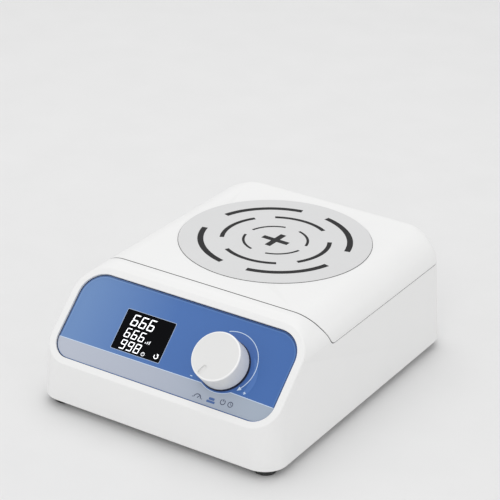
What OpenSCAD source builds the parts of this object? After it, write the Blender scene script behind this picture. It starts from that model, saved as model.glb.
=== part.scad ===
// Digital magnetic stirrer: a white two-part case with a round platform on top, a sloping
// control panel with a display and a push-and-turn knob, and a motor with a magnet bar inside.
// Millimetres, +Z up, +Y to the rear, origin on the bench under the middle of the case.

/* [Case] */
// Width of the case at its base
case_w = 188; // [184:1:196]
// Depth of the case at its base
case_d = 238; // [236:1:246]
// Height of the case from its underside to the top of its cover
case_h = 82.6; // [82:0.1:85]
// Radius of the four upright corners at the base
corner_r = 17; // [14:0.5:20]
// Draft of the outer walls, in degrees
draft = 3; // [2.5:0.1:3.5]
// Radius of the long shoulders between the sides and the top
shoulder_r = 24; // [20:0.5:26]
// Radius of the edge between the rear wall and the top
rear_edge_r = 7; // [5:0.5:9]
// Thickness of the moulded walls
wall = 2.6; // [2.2:0.1:2.8]
// Height of the rubber feet under the case
foot_h = 6; // [5:0.5:8]
// Radius of a rubber foot where it meets the base plate
foot_r = 9.5; // [8:0.5:10]
// Distance of the feet from the middle, across
foot_x = 80; // [70:1:80]
// Distance of the feet from the middle, front to back
foot_y = 105; // [95:1:105]

/* [Cover seam] */
// Depth of the seam below the top of the cover, along the sides
seam_drop = 20.9; // [20:0.1:22]
// Place of the seam on the top, measured from the middle of the case
seam_y = -54.2; // [-56:0.1:-52]
// Backward slant of the seam's front run, in degrees
seam_slant = 25.5; // [20:0.5:30]
// Radius of the seam's lower bend
seam_bend_r = 6; // [4:0.5:8]

/* [Platform] */
// Diameter of the round platform plate
plate_dia = 135; // [130:1:138]
// Distance of the platform's centre behind the middle of the case
plate_y = 31.2; // [30:0.1:32]
// Thickness of the platform plate
plate_t = 1.6; // [1.4:0.1:2]
// Height that the plate stands proud of the cover
plate_proud = 0.6; // [0.4:0.1:0.8]
// Thickness of the adhesive under the plate
adhesive_t = 0.4; // [0.3:0.1:0.5]

/* [Control panel] */
// Slope of the control panel, in degrees from level
panel_slope = 43.9; // [42:0.1:45]
// Half the width of the recessed panel
panel_half_w = 85.4; // [84:0.1:86]
// Lower edge of the panel, down the slope from its colour change
panel_low = -13.5; // [-14:0.1:-13]
// Upper edge of the panel, up the slope from its colour change
panel_high = 50.3; // [49:0.1:51]
// Corner radius at the panel's upper edge
panel_r_top = 18; // [16:0.5:20]
// Corner radius at the panel's lower edge
panel_r_low = 14; // [12:0.5:16]
// Width of the raised bezel around the panel, with its rounded outer edge
bezel_w = 5.4; // [5:0.1:5.6]
// Height of the bezel above the panel film
bezel_rise = 1.5; // [1.2:0.1:1.8]
// Width of the bezel's rounded outer edge
bezel_edge = 1.2; // [0.8:0.1:1.4]
// Thickness of the printed panel film
film_t = 0.6; // [0.4:0.1:0.8]
// Thickness of the moulded floor behind the film
bed_t = 2; // [1.8:0.1:2.4]

/* [Display and knob] */
// Middle of the display across the panel
display_x = -25; // [-27:0.5:-23]
// Middle of the display up the slope
display_s = 17.9; // [17:0.1:19]
// Width of the display window
display_w = 38.5; // [36:0.5:40]
// Height of the display window up the slope
display_h = 28.7; // [26:0.1:30]
// Knob axis across the panel
knob_x = 40; // [38:0.1:42]
// Knob axis up the slope
knob_s = 16.2; // [16:0.1:18]
// Radius of the knob at its base
knob_r = 17.2; // [16.8:0.1:17.6]
// Radius of the knob's front face
knob_face_r = 17; // [16:0.1:17.2]
// Length of the knob along its axis
knob_len = 15.7; // [15:0.1:17]
// Gap between the knob and the panel film
knob_gap = 1.2; // [1:0.1:1.6]
// Travel of the knob when it is pushed
push_travel = 0.6; // [0.4:0.1:0.7]

/* [Stirring drive] */
// Radius of the motor housing
motor_r = 28; // [26:0.5:29]
// Height of the motor housing's top face above the bench
motor_top = 60; // [59:0.5:61]
// Radius of the motor shaft
shaft_r = 2.5; // [2.5:0.5:3]
// Distance of each drive magnet from the spin axis
magnet_offset = 32; // [28:1:33]
// Radius of each drive magnet
magnet_r = 11; // [9:0.5:12]
// Running clearance around the turning shafts
run_gap = 0.05; // [0.03:0.01:0.08]

/* [Mains inlet] */
// Place of the mains inlet across the rear wall
inlet_x = -48; // [-52:1:-44]
// Height of the socket's middle above the bench
socket_z = 39; // [38:0.5:40]
// Height of the fuse drawer's middle above the bench
drawer_z = 24.5; // [24:0.5:25]

/* [Hidden] */
$fn = 48;

// Facets of the round corners inside a hull
hull_fn = 32;
// Thickness of the slices that a hull joins
slice = 0.02;
// Overshoot that makes a cut go right through
cut = 1;
// Radii of the holes that small screws pass through and bite into
clear_r = 1.7;
pilot_r = 1.3;
// Gap around a part that sits in an opening, on each side
fit_gap = 0.2;

// Case levels
base_z = foot_h;
top_z = foot_h + case_h;
floor_t = 2;
floor_z = base_z + floor_t;
seam_z = top_z - seam_drop;
inner_top = top_z - wall;
base_edge = 0.8;

// How far the outer walls lean in at a height
function lean(z) = tan(draft) * (z - base_z);

// Panel frame: where the film's colour change meets the middle of the case
panel_setback = 14.58;
panel_lift = 40.8;
panel_y = -case_d / 2 + panel_setback;
panel_z = base_z + panel_lift;
bezel_half_w = panel_half_w + bezel_w;
bezel_low = panel_low - bezel_w;
bezel_high = panel_high + bezel_w;
bed_low = -film_t - bed_t;
// Heights of the bezel's outer edge over the film, each with how far it is drawn in
bezel_layers = [[0, 0], [bezel_rise - 0.5, bezel_edge * 0.35], [bezel_rise, bezel_edge]];

// Control board, behind the panel
board_t = 1.6;
control_top = -12.4;
control_holes_x = [-72, 72];
control_holes_s = [2, 36];
control_screw_len = 5;
control_half_w = 76;
control_low = -3;
control_h = 44;
// Flat on the shaft's end: its distance from the axis, and where it starts
shaft_flat = 1.6;
shaft_flat_z = 5;
encoder_front = -5.8;
encoder_floor = 0.6;
plunger_top = control_top + 2.4;
bushing_r = 3.5;
bushing_top = 3;
encoder_shaft_r = 3;
shaft_tip = 12;
knob_back = knob_gap;
knob_front = knob_gap + knob_len;
cap_t = 1;
cap_r = knob_face_r - 1.6;
pointer_w = 3.4;
pointer_turn = -113;

// Stirring drive levels, from the bottom of the motor to the magnet bar
bell_z = 20;
bell_t = 3;
motor_low = bell_z + bell_t;
stator_low = 34;
stator_high = 52;
stator_in = 16;
can_t = 1.6;
yoke_t = 3;
tooth_w = 5;
coil_w = 10;
coil_over = 3;
coil_count = 6;
bearing_r = 8;
bearing_w = 5;
boss_r = 10;
lower_bearing_z = 22;
upper_bearing_z = 60.5;
boss_top = 66;
bracket_t = 2;
bracket_z = motor_top;
post_x = 40;
post_y = 32;
grommet_t = 2;
grommet_r = 6;
grommet_neck_r = 3.6;
post_top = bracket_z - grommet_t;
disc_z = 68;
disc_t = 1;
disc_r = 24;
disc_slots = 24;
hub_r = 9;
hub_z = 67;
holder_z = 73;
holder_top = 84;
holder_len_r = 46;
holder_w = 28;
magnet_t = 8;
shaft_low = 18;
groove_z = shaft_low + 0.7;
groove_t = 0.8;
groove_r = shaft_r - 0.4;
shaft_high = 80;
set_screw_z = 71;
set_screw_r = 1.25;
motor_pcd_r = 17;

// Driver board on the base plate
driver_z = 14;
driver_top = driver_z + board_t;
driver_x = 70;
driver_front = -98;
driver_rear = -12;

// Base plate: gap to the walls, and its cooling slots
base_gap = 0.4;
slot_w = 4;
slot_len = 34;
slot_pitch = 11;

// Screws that hold the case together
foot_screw_r = 1.5;
foot_screw_len = 7;
base_screw_len = 10;
cover_screw_len = 12;

// Places that come in fours
base_screw_x = 76;
base_screw_y = 84;
cover_screw_x = 72;
cover_screw_y = [-28, 86];
lug_z = 52;
lug_t = 3;
lug_reach = 18.4;
boss_out_r = 4.5;
boss_h = 16;
rib_len = 12;
rib_t = 1.6;

// Mains inlet levels, front to back
pocket_y = case_d / 2 - 6.5;
flange_t = 3;
flange_y = pocket_y + flange_t;
flange_w = 50;
flange_h = 32;
flange_mid_z = 35;
inlet_back = 86;
inlet_body_w = 29;
inlet_body_low = 20;
inlet_body_high = 48.8;
socket_w = 24.4;
socket_h = 16.9;
socket_depth = 17.5;
drawer_w = 21.8;
drawer_h = 6.8;
drawer_gap = 0.2;
drawer_len = 24;
drawer_face_t = 1.2;
pad_t = 3.2;
inlet_screw_pitch = 40;
pin_w = 2;
pin_h = 4;
pin_tail = 8;
pin_pitch = 7;
earth_rise = 4;
fuse_x = 5;
fuse_len = 20;
fuse_r = 2.6;
wire_pitch = 3.4;
wire_r = 1.1;

// ---------------------------------------------------------------- placing and shared shapes

// Puts children in the panel's frame: X across, Y up the slope, Z out of the panel
module on_panel() {
    translate([0, panel_y, panel_z]) rotate([panel_slope, 0, 0]) children();
}

module on_knob_axis() {
    on_panel() translate([knob_x, knob_s, 0]) children();
}

module on_spin_axis() {
    translate([0, plate_y, 0]) children();
}

module at_four(x, y) {
    for (sx = [-1, 1], sy = [-1, 1]) translate([sx * x, sy * y, 0]) children();
}

module at_cover_screws() {
    for (sx = [-1, 1], y = cover_screw_y) translate([sx * cover_screw_x, y, 0]) children();
}

module at_control_holes() {
    on_panel() for (x = control_holes_x, s = control_holes_s)
        translate([x, s, control_top]) children();
}

// Rectangle with round corners, made of plain squares and circles
module soft_rect(w, d, r) {
    square([w - 2 * r, d], center = true);
    square([w, d - 2 * r], center = true);
    for (sx = [-1, 1], sy = [-1, 1])
        translate([sx * (w / 2 - r), sy * (d / 2 - r)]) circle(r);
}

// The panel's outline, grown or shrunk by a margin
module panel_outline(margin = 0) {
    w = panel_half_w + margin;
    low = panel_low - margin;
    high = panel_high + margin;
    rt = panel_r_top + margin;
    rl = panel_r_low + margin;
    translate([-w, low + rl]) square([2 * w, high - low - rt - rl]);
    translate([-w + rl, low]) square([2 * (w - rl), rl]);
    translate([-w + rt, high - rt]) square([2 * (w - rt), rt]);
    for (sx = [-1, 1]) {
        translate([sx * (w - rl), low + rl]) circle(rl);
        translate([sx * (w - rt), high - rt]) circle(rt);
    }
}

module ring(r_out, r_in, h) {
    difference() {
        cylinder(r = r_out, h = h);
        translate([0, 0, -cut]) cylinder(r = r_in, h = h + 2 * cut);
    }
}

// A pan-head screw that stands on its tip, with a cross recess in its head
module pan_screw(r, len, head_r, head_h) {
    difference() {
        union() {
            cylinder(r = r, h = len);
            translate([0, 0, len]) cylinder(r = head_r, h = head_h);
        }
        for (a = [0, 90])
            translate([0, 0, len + head_h]) rotate([0, 0, a])
                cube([head_r * 1.2, 0.6, head_h], center = true);
    }
}

// A wire of eight flat sides that runs through a list of points, as one swept skin
module wire(points, r) {
    sides = 8;
    last = len(points) - 1;
    ring_points = [for (i = [0 : last])
        let (ahead = points[min(i + 1, last)] - points[max(i - 1, 0)],
             along = ahead / norm(ahead),
             over = abs(along[2]) > 0.9 ? [1, 0, 0] : [0, 0, 1],
             u = cross(along, over) / norm(cross(along, over)),
             v = cross(u, along))
        for (k = [0 : sides - 1])
            points[i] + r * (cos(k * 360 / sides) * u + sin(k * 360 / sides) * v)];
    skin = [for (i = [0 : last - 1], k = [0 : sides - 1])
        [i * sides + (k + 1) % sides, (i + 1) * sides + (k + 1) % sides,
         (i + 1) * sides + k, i * sides + k]];
    ends = [[for (k = [sides - 1 : -1 : 0]) k],
            [for (k = [0 : sides - 1]) last * sides + k]];
    polyhedron(ring_points, concat(skin, ends));
}

// ---------------------------------------------------------------- case

// One upright slice across the case: its two shoulders, drawn in by the given amounts
module shoulder_slice(y, side_in, top_in, t) {
    r = shoulder_r - t;
    z = top_z - shoulder_r - top_in;
    x = case_w / 2 - lean(z) - shoulder_r - side_in;
    for (sx = [-1, 1])
        translate([sx * x, y, z]) rotate([90, 0, 0])
            cylinder(r = r, h = slice, $fn = 2 * hull_fn);
}

// The case's outer form for t = 0, or the hollow inside it for t = wall
module case_form(t) {
    low_z = t > 0 ? base_z - cut : base_z;
    rear = case_d / 2 - lean(top_z - rear_edge_r);
    w = case_w / 2 - corner_r;
    d = case_d / 2 - corner_r;
    rt = panel_r_top + bezel_w - t;
    rl = panel_r_low + bezel_w - t;
    hull() {
        at_four(w, d) {
            translate([0, 0, low_z])
                cylinder(r = corner_r - t - (t > 0 ? 0 : base_edge), h = slice, $fn = hull_fn);
            translate([0, 0, base_z + base_edge])
                cylinder(r = corner_r - t, h = slice, $fn = hull_fn);
        }
        // The rear corners turn in plan while the rear edge rounds over the top
        for (a = [0 : 15 : 90]) {
            back = corner_r * (1 - sin(a));
            over = max(0, rear_edge_r - back);
            drop = rear_edge_r - sqrt(pow(rear_edge_r, 2) - pow(over, 2));
            shoulder_slice(rear - back - t, corner_r * (1 - cos(a)), drop, t);
        }
        // The top meets the bezel in a short round edge
        shoulder_slice(seam_y - 4 + t / 2, 0, 0, t);
        shoulder_slice(seam_y - 8 + t / 2, 0.6, 1, t);
        on_panel() for (sx = [-1, 1], layer = t > 0 ? [[bed_low, 0]] : bezel_layers) {
            translate([sx * (bezel_half_w - t - rl), bezel_low + t + rl, layer[0] - slice])
                cylinder(r = rl - layer[1], h = slice, $fn = hull_fn);
            translate([sx * (bezel_half_w - t - rt), bezel_high - t - rt, layer[0] - slice])
                cylinder(r = rt - layer[1], h = slice, $fn = hull_fn);
        }
    }
}

// The room that the top cover takes, seen from the side: behind the slanting seam
module cover_zone() {
    knee_y = seam_y + tan(seam_slant) * (top_z - seam_z);
    turn = 90 - seam_slant;
    reach = seam_bend_r * tan(turn / 2);
    arc_y = knee_y + reach;
    arc_z = seam_z + seam_bend_r;
    far = case_d;
    outline = concat(
        [[far, seam_z], [arc_y, seam_z]],
        [for (k = [1 : 5]) [arc_y - seam_bend_r * sin(k * turn / 6),
                            arc_z - seam_bend_r * cos(k * turn / 6)]],
        [[arc_y - seam_bend_r * sin(turn), arc_z - seam_bend_r * cos(turn)],
         [seam_y - tan(seam_slant) * 10, top_z + 10], [far, top_z + 10]]);
    translate([-case_w, 0, 0]) rotate([90, 0, 90])
        linear_extrude(2 * case_w) polygon(outline);
}

module housing_bosses() {
    // Posts that take the base plate's screws, tied to the side walls
    at_four(base_screw_x, base_screw_y) translate([0, 0, floor_z])
        ring(boss_out_r, pilot_r, boss_h);
    for (sx = [-1, 1], sy = [-1, 1])
        translate([sx * (base_screw_x + boss_out_r - 0.6) + (sx > 0 ? 0 : -rib_len),
                   sy * base_screw_y - rib_t / 2, floor_z])
            cube([rib_len, rib_t, boss_h]);
    // Lugs on the side walls that the cover's screws pass through
    for (sx = [-1, 1], y = cover_screw_y) translate([sx * cover_screw_x, y, lug_z])
        difference() {
            union() {
                cylinder(r = boss_out_r, h = lug_t);
                translate([sx > 0 ? 0 : -lug_reach, -boss_out_r, 0])
                    cube([lug_reach, 2 * boss_out_r, lug_t]);
            }
            translate([0, 0, -cut]) cylinder(r = clear_r, h = lug_t + 2 * cut);
        }
    // Posts behind the panel that hold the control board
    at_control_holes() ring(3.5, 1.2, bed_low - control_top + fit_gap);
}

// The flat pad inside the rear wall, around the inlet's pocket
module inlet_pad() {
    translate([inlet_x - flange_w / 2 - 4, pocket_y - pad_t, flange_mid_z - flange_h / 2 - 3])
        cube([flange_w + 8, pad_t + 2.6, flange_h + 6]);
}

module inlet_cuts() {
    translate([inlet_x - flange_w / 2 - 0.3, pocket_y, flange_mid_z - flange_h / 2 - 0.3])
        cube([flange_w + 0.6, 20, flange_h + 0.6]);
    translate([inlet_x - inlet_body_w / 2 - 0.2, pocket_y - 10, inlet_body_low - 0.2])
        cube([inlet_body_w + 0.4, 20, inlet_body_high - inlet_body_low + 0.4]);
    for (sx = [-1, 1])
        translate([inlet_x + sx * inlet_screw_pitch / 2, pocket_y - 10, flange_mid_z])
            rotate([-90, 0, 0]) cylinder(r = 1.5, h = 20);
}

module lower_housing() {
    color([0.9, 0.9, 0.91]) difference() {
        union() {
            difference() {
                case_form(0);
                case_form(wall);
                cover_zone();
            }
            housing_bosses();
            inlet_pad();
        }
        inlet_cuts();
        // The panel's recess, the display's hole and the encoder's hole
        on_panel() {
            translate([0, 0, -film_t]) linear_extrude(10) panel_outline();
            translate([display_x, display_s, -10])
                linear_extrude(20) soft_rect(display_w + 2 * fit_gap, display_h + 2 * fit_gap, 1);
        }
        on_knob_axis() translate([0, 0, -10]) cylinder(r = bushing_r + fit_gap, h = 20);
    }
}

module top_cover() {
    color([0.96, 0.96, 0.96]) difference() {
        union() {
            difference() {
                intersection() {
                    case_form(0);
                    cover_zone();
                }
                case_form(wall);
            }
            // Posts that take the cover's screws
            at_cover_screws() translate([0, 0, lug_z + lug_t])
                cylinder(r = boss_out_r, h = inner_top + 0.2 - lug_z - lug_t);
        }
        at_cover_screws() translate([0, 0, lug_z]) cylinder(r = pilot_r, h = 16);
        on_spin_axis() translate([0, 0, top_z + plate_proud - plate_t - adhesive_t])
            cylinder(r = plate_dia / 2 + 0.3, h = 10, $fn = 96);
    }
}

module base_plate() {
    w = case_w - 2 * (wall + base_gap);
    d = case_d - 2 * (wall + base_gap);
    color([0.82, 0.82, 0.83]) difference() {
        translate([0, 0, base_z]) linear_extrude(floor_t) soft_rect(w, d, corner_r - wall);
        // Cooling slots below the motor and below the driver board
        for (i = [-4 : 4], y = [plate_y + 38, -52])
            translate([i * slot_pitch, y, base_z - cut]) linear_extrude(floor_t + 2 * cut)
                soft_rect(slot_w, slot_len, slot_w / 2 - 0.1);
        translate([0, 0, base_z - cut]) {
            at_four(base_screw_x, base_screw_y) cylinder(r = clear_r, h = 2 * floor_t);
            at_four(foot_x, foot_y) cylinder(r = foot_screw_r, h = 2 * floor_t);
        }
    }
}

module rubber_feet() {
    color([0.12, 0.12, 0.12]) at_four(foot_x, foot_y) rotate_extrude()
        polygon([[1.6, 3], [4, 3], [4, 0], [foot_r - 3, 0], [foot_r - 1.8, 0.6],
                 [foot_r - 0.6, 3], [foot_r, foot_h], [1.6, foot_h]]);
}

module foot_screws() {
    color([0.6, 0.6, 0.62]) at_four(foot_x, foot_y)
        translate([0, 0, base_z + 4]) mirror([0, 0, 1])
            pan_screw(foot_screw_r, foot_screw_len, 2.8, 2);
}

module base_screws() {
    color([0.6, 0.6, 0.62]) at_four(base_screw_x, base_screw_y)
        translate([0, 0, base_z + base_screw_len]) mirror([0, 0, 1])
            pan_screw(pilot_r, base_screw_len, 2.6, 1.6);
}

module cover_screws() {
    color([0.6, 0.6, 0.62]) at_cover_screws()
        translate([0, 0, lug_z + cover_screw_len]) mirror([0, 0, 1])
            pan_screw(pilot_r, cover_screw_len, 2.8, 1.8);
}

// ---------------------------------------------------------------- platform

module platform_plate() {
    r = plate_dia / 2;
    edge = 0.4;
    low = top_z + plate_proud - plate_t;
    high = top_z + plate_proud;
    color([0.86, 0.87, 0.88]) on_spin_axis() rotate_extrude($fn = 96)
        polygon([[0, low], [r, low], [r, high - edge], [r - edge, high], [0, high]]);
}

module platform_adhesive() {
    color([0.3, 0.3, 0.3]) on_spin_axis()
        translate([0, 0, top_z + plate_proud - plate_t - adhesive_t])
            ring(plate_dia / 2 - 1, plate_dia / 2 - 12, adhesive_t);
}

// ---------------------------------------------------------------- control panel

module panel_film() {
    color([0.35, 0.5, 0.74]) on_panel() difference() {
        translate([0, 0, -film_t]) linear_extrude(film_t) panel_outline(-2 * fit_gap);
        translate([display_x, display_s, -cut])
            linear_extrude(2 * cut) soft_rect(display_w + 2 * fit_gap, display_h + 2 * fit_gap, 1);
        translate([knob_x, knob_s, -cut]) cylinder(r = bushing_r + fit_gap, h = 2 * cut);
    }
}

module display_window() {
    color([0.03, 0.03, 0.04]) on_panel() translate([display_x, display_s, -2])
        linear_extrude(2) soft_rect(display_w, display_h, 0.8);
}

// The lit module behind the window, on its own header pins
module display_module() {
    color([0.15, 0.16, 0.17]) on_panel() translate([display_x, display_s, 0]) {
        translate([-display_w / 2 + 1, -display_h / 2 + 1, -7])
            cube([display_w - 2, display_h - 2, 5]);
        for (sx = [-1, 1])
            translate([sx * 15 - 1.2, -10, control_top]) cube([2.4, 20, -7 - control_top]);
    }
}

module control_board() {
    color([0.1, 0.35, 0.2]) on_panel() difference() {
        translate([-control_half_w, control_low, control_top - board_t])
            cube([2 * control_half_w, control_h, board_t]);
        for (x = control_holes_x, s = control_holes_s)
            translate([x, s, control_top - board_t - cut]) cylinder(r = clear_r, h = board_t + 2 * cut);
    }
}

// Chips on the back of the control board and the socket for the ribbon cable
module control_chips() {
    back = control_top - board_t;
    color([0.08, 0.08, 0.09]) on_panel() {
        for (x = [-30, -8]) translate([x, 14, back - 1.6]) cube([12, 12, 1.6]);
        translate([-52, 10, back - 1.2]) cube([6, 10, 1.2]);
        translate([6, 8, back - 5]) cube([18, 6, 5]);
    }
}

module control_board_screws() {
    color([0.6, 0.6, 0.62]) at_control_holes() translate([0, 0, control_screw_len])
        mirror([0, 0, 1]) pan_screw(1.2, control_screw_len + board_t, 2.6, 1.6);
}

// The timer's sounder, on the back of the control board
module buzzer() {
    color([0.1, 0.1, 0.1]) on_panel() translate([50, 18, control_top - board_t - 7])
        ring(6, 1, 7);
}

module encoder_body() {
    color([0.5, 0.52, 0.55]) on_knob_axis() difference() {
        union() {
            translate([-6.5, -6.5, control_top]) cube([13, 13, encoder_front - control_top]);
            translate([0, 0, encoder_front]) cylinder(r = bushing_r, h = bushing_top - encoder_front);
        }
        // The bush that the shaft turns in, and the room for its shoulder and plunger
        translate([0, 0, encoder_front - 3])
            cylinder(r = encoder_shaft_r + run_gap, h = bushing_top - encoder_front + 3 + cut);
        translate([0, 0, control_top + encoder_floor])
            cylinder(r = 4.6, h = encoder_front - control_top - encoder_floor - 1.2);
    }
}

module encoder_nut() {
    color([0.75, 0.76, 0.78]) on_knob_axis() difference() {
        union() {
            cylinder(r = 7, h = 0.5);
            translate([0, 0, 0.5]) cylinder(r = 5.8, h = 1.8, $fn = 6);
        }
        translate([0, 0, -cut]) cylinder(r = bushing_r, h = 4);
    }
}

// The small slide that the shaft's end presses onto the push switch
module encoder_plunger() {
    stem_low = control_top + encoder_floor + push_travel + 0.1;
    color([0.9, 0.9, 0.85]) on_knob_axis() {
        translate([0, 0, plunger_top - 1]) cylinder(r = 3.4, h = 1);
        translate([0, 0, stem_low]) cylinder(r = 1.5, h = plunger_top - stem_low - 0.4);
    }
}

// The room beside the flat that the knob grips
module beside_flat() {
    translate([-5, shaft_flat, shaft_flat_z]) cube([10, 5, shaft_tip]);
}

module encoder_shaft() {
    low = plunger_top;
    color([0.8, 0.81, 0.83]) on_knob_axis() difference() {
        union() {
            translate([0, 0, low]) cylinder(r = encoder_shaft_r, h = shaft_tip - low);
            translate([0, 0, low]) cylinder(r = 4.2, h = 1);
        }
        beside_flat();
    }
}

module speed_knob() {
    socket_r = encoder_shaft_r + 2.6;
    color([0.93, 0.93, 0.94]) on_knob_axis() difference() {
        rotate_extrude($fn = 96) polygon([
            [0, knob_front - cap_t], [cap_r, knob_front - cap_t], [cap_r, knob_front],
            [knob_face_r - 0.6, knob_front], [knob_face_r, knob_front - 0.6],
            [knob_r, knob_back + 1], [knob_r - 0.4, knob_back], [knob_r - 2, knob_back],
            [knob_r - 2.6, knob_front - 5], [socket_r, knob_front - 5], [socket_r, 4.2],
            [0, 4.2]]);
        difference() {
            cylinder(r = encoder_shaft_r, h = shaft_tip);
            beside_flat();
        }
    }
}

// The disc in the knob's face, with the pointer sunk in it
module knob_cap() {
    inner = 8.3 + pointer_w / 2;
    outer = cap_r - pointer_w / 2 - 1;
    color([0.95, 0.95, 0.95]) on_knob_axis() difference() {
        translate([0, 0, knob_front - cap_t]) cylinder(r = cap_r, h = cap_t - 0.1, $fn = 96);
        rotate([0, 0, pointer_turn]) translate([0, 0, knob_front - 0.6]) linear_extrude(cut) {
            translate([inner, -pointer_w / 2]) square([outer - inner, pointer_w]);
            for (x = [inner, outer]) translate([x, 0]) circle(pointer_w / 2);
        }
    }
}

// ---------------------------------------------------------------- motor

module motor_housing() {
    color([0.55, 0.56, 0.58]) on_spin_axis() difference() {
        union() {
            translate([0, 0, motor_low]) cylinder(r = motor_r, h = motor_top - motor_low, $fn = 96);
            translate([0, 0, motor_top]) cylinder(r = boss_r, h = boss_top - motor_top);
        }
        translate([0, 0, motor_low - cut])
            cylinder(r = motor_r - can_t, h = motor_top - motor_low - 2 + cut, $fn = 96);
        translate([0, 0, upper_bearing_z - 0.5]) cylinder(r = bearing_r, h = 20);
        cylinder(r = shaft_r + 1.5, h = 100);
        for (a = [45 : 90 : 315]) rotate([0, 0, a])
            translate([motor_pcd_r, 0, motor_top - 5]) cylinder(r = pilot_r, h = 10);
    }
}

module motor_end_bell() {
    color([0.45, 0.46, 0.48]) on_spin_axis() difference() {
        union() {
            translate([0, 0, bell_z]) cylinder(r = motor_r, h = bell_t, $fn = 96);
            translate([0, 0, motor_low]) cylinder(r = boss_r, h = 5);
        }
        translate([0, 0, lower_bearing_z]) cylinder(r = bearing_r, h = 20);
        cylinder(r = shaft_r + 1.5, h = 100);
    }
}

module stator_core() {
    out = motor_r - can_t;
    h = stator_high - stator_low;
    color([0.4, 0.4, 0.42]) on_spin_axis() translate([0, 0, stator_low]) {
        ring(out, out - yoke_t, h);
        for (k = [0 : coil_count - 1]) rotate([0, 0, k * 360 / coil_count])
            translate([stator_in, -tooth_w / 2, 0]) cube([out - 2 - stator_in, tooth_w, h]);
    }
}

module stator_coils() {
    out = motor_r - 5.2;
    h = stator_high - stator_low;
    color([0.75, 0.42, 0.2]) on_spin_axis()
        for (k = [0 : coil_count - 1]) rotate([0, 0, k * 360 / coil_count])
            translate([0, 0, stator_low]) difference() {
                translate([stator_in + 1, -coil_w / 2, -coil_over])
                    cube([out - stator_in - 1, coil_w, h + 2 * coil_over]);
                translate([stator_in, -tooth_w / 2, 0]) cube([out, tooth_w, h]);
            }
}

module motor_rotor() {
    color([0.3, 0.3, 0.32]) on_spin_axis() translate([0, 0, stator_low])
        ring(stator_in - 1, shaft_r, stator_high - stator_low);
}

module motor_shaft() {
    color([0.8, 0.8, 0.82]) on_spin_axis() difference() {
        translate([0, 0, shaft_low]) cylinder(r = shaft_r, h = shaft_high - shaft_low);
        // The groove that the retaining clip snaps into
        translate([0, 0, groove_z]) ring(shaft_r + 1, groove_r, groove_t);
    }
}

module bearing(z) {
    color([0.7, 0.71, 0.73]) on_spin_axis() translate([0, 0, z]) difference() {
        ring(bearing_r, shaft_r + run_gap, bearing_w);
        for (side = [-0.5, bearing_w - 0.5])
            translate([0, 0, side]) ring(bearing_r - 1.6, shaft_r + 1.4, 1);
    }
}

module upper_bearing() {
    bearing(upper_bearing_z - 0.5);
}

module lower_bearing() {
    bearing(lower_bearing_z);
}

module shaft_clip() {
    color([0.3, 0.3, 0.3]) on_spin_axis() translate([0, 0, groove_z]) difference() {
        ring(4.6, groove_r, groove_t);
        translate([0, -1.5, -cut]) cube([10, 3, 3]);
    }
}

module motor_bracket() {
    color([0.65, 0.66, 0.68]) on_spin_axis() difference() {
        translate([0, 0, bracket_z]) linear_extrude(bracket_t)
            soft_rect(2 * post_x + 18, 2 * post_y + 18, 6);
        translate([0, 0, bracket_z - cut]) {
            cylinder(r = boss_r + 0.3, h = 4);
            at_four(post_x, post_y) cylinder(r = grommet_neck_r, h = 4);
            for (a = [45 : 90 : 315]) rotate([0, 0, a])
                translate([motor_pcd_r, 0, 0]) cylinder(r = clear_r, h = 4);
            // Weight-saving windows at the sides
            for (sx = [-1, 1]) translate([sx * 38, 0, 0]) linear_extrude(4)
                soft_rect(10, 34, 3);
        }
    }
}

module bracket_posts() {
    color([0.78, 0.7, 0.45]) on_spin_axis() at_four(post_x, post_y) difference() {
        translate([0, 0, floor_z]) cylinder(r = 4.5, h = post_top - floor_z, $fn = 6);
        translate([0, 0, post_top - 10]) cylinder(r = 1.5, h = 20);
    }
}

module vibration_grommets() {
    high = bracket_z + bracket_t + grommet_t;
    color([0.1, 0.1, 0.1]) on_spin_axis() at_four(post_x, post_y) rotate_extrude()
        polygon([[1.6, post_top], [grommet_r, post_top], [grommet_r, bracket_z],
                 [grommet_neck_r, bracket_z], [grommet_neck_r, bracket_z + bracket_t],
                 [grommet_r, bracket_z + bracket_t], [grommet_r, high], [1.6, high]]);
}

module bracket_screws() {
    high = bracket_z + bracket_t + grommet_t;
    color([0.6, 0.6, 0.62]) on_spin_axis() at_four(post_x, post_y)
        translate([0, 0, post_top - 8]) pan_screw(1.5, high - post_top + 8, 3, 2);
}

module motor_screws() {
    color([0.6, 0.6, 0.62]) on_spin_axis() for (a = [45 : 90 : 315]) rotate([0, 0, a])
        translate([motor_pcd_r, 0, motor_top - 1.8])
            pan_screw(pilot_r, 1.8 + bracket_t, 2.4, 1.6);
}

module magnet_holder() {
    color([0.7, 0.71, 0.73]) on_spin_axis() difference() {
        union() {
            intersection() {
                translate([0, 0, holder_z])
                    cylinder(r = holder_len_r, h = holder_top - holder_z, $fn = 96);
                translate([0, 0, holder_z])
                    cube([2 * holder_len_r, holder_w, 40], center = true);
            }
            translate([0, 0, hub_z]) cylinder(r = hub_r, h = holder_z - hub_z);
        }
        for (sx = [-1, 1]) translate([sx * magnet_offset, 0, holder_top - magnet_t])
            cylinder(r = magnet_r, h = 20);
        translate([0, 0, hub_z - cut]) cylinder(r = shaft_r, h = shaft_high - hub_z + cut);
        translate([shaft_r - 1, 0, set_screw_z]) rotate([0, 90, 0])
            cylinder(r = set_screw_r, h = 20);
    }
}

module drive_magnets() {
    color([0.78, 0.79, 0.82]) on_spin_axis() for (sx = [-1, 1])
        translate([sx * magnet_offset, 0, holder_top - magnet_t])
            cylinder(r = magnet_r, h = magnet_t);
}

module holder_set_screw() {
    color([0.2, 0.2, 0.2]) on_spin_axis() translate([shaft_r, 0, set_screw_z])
        rotate([0, 90, 0]) difference() {
            cylinder(r = set_screw_r, h = 6);
            translate([0, 0, 4.5]) cylinder(r = 0.7, h = 3, $fn = 6);
        }
}

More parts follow.
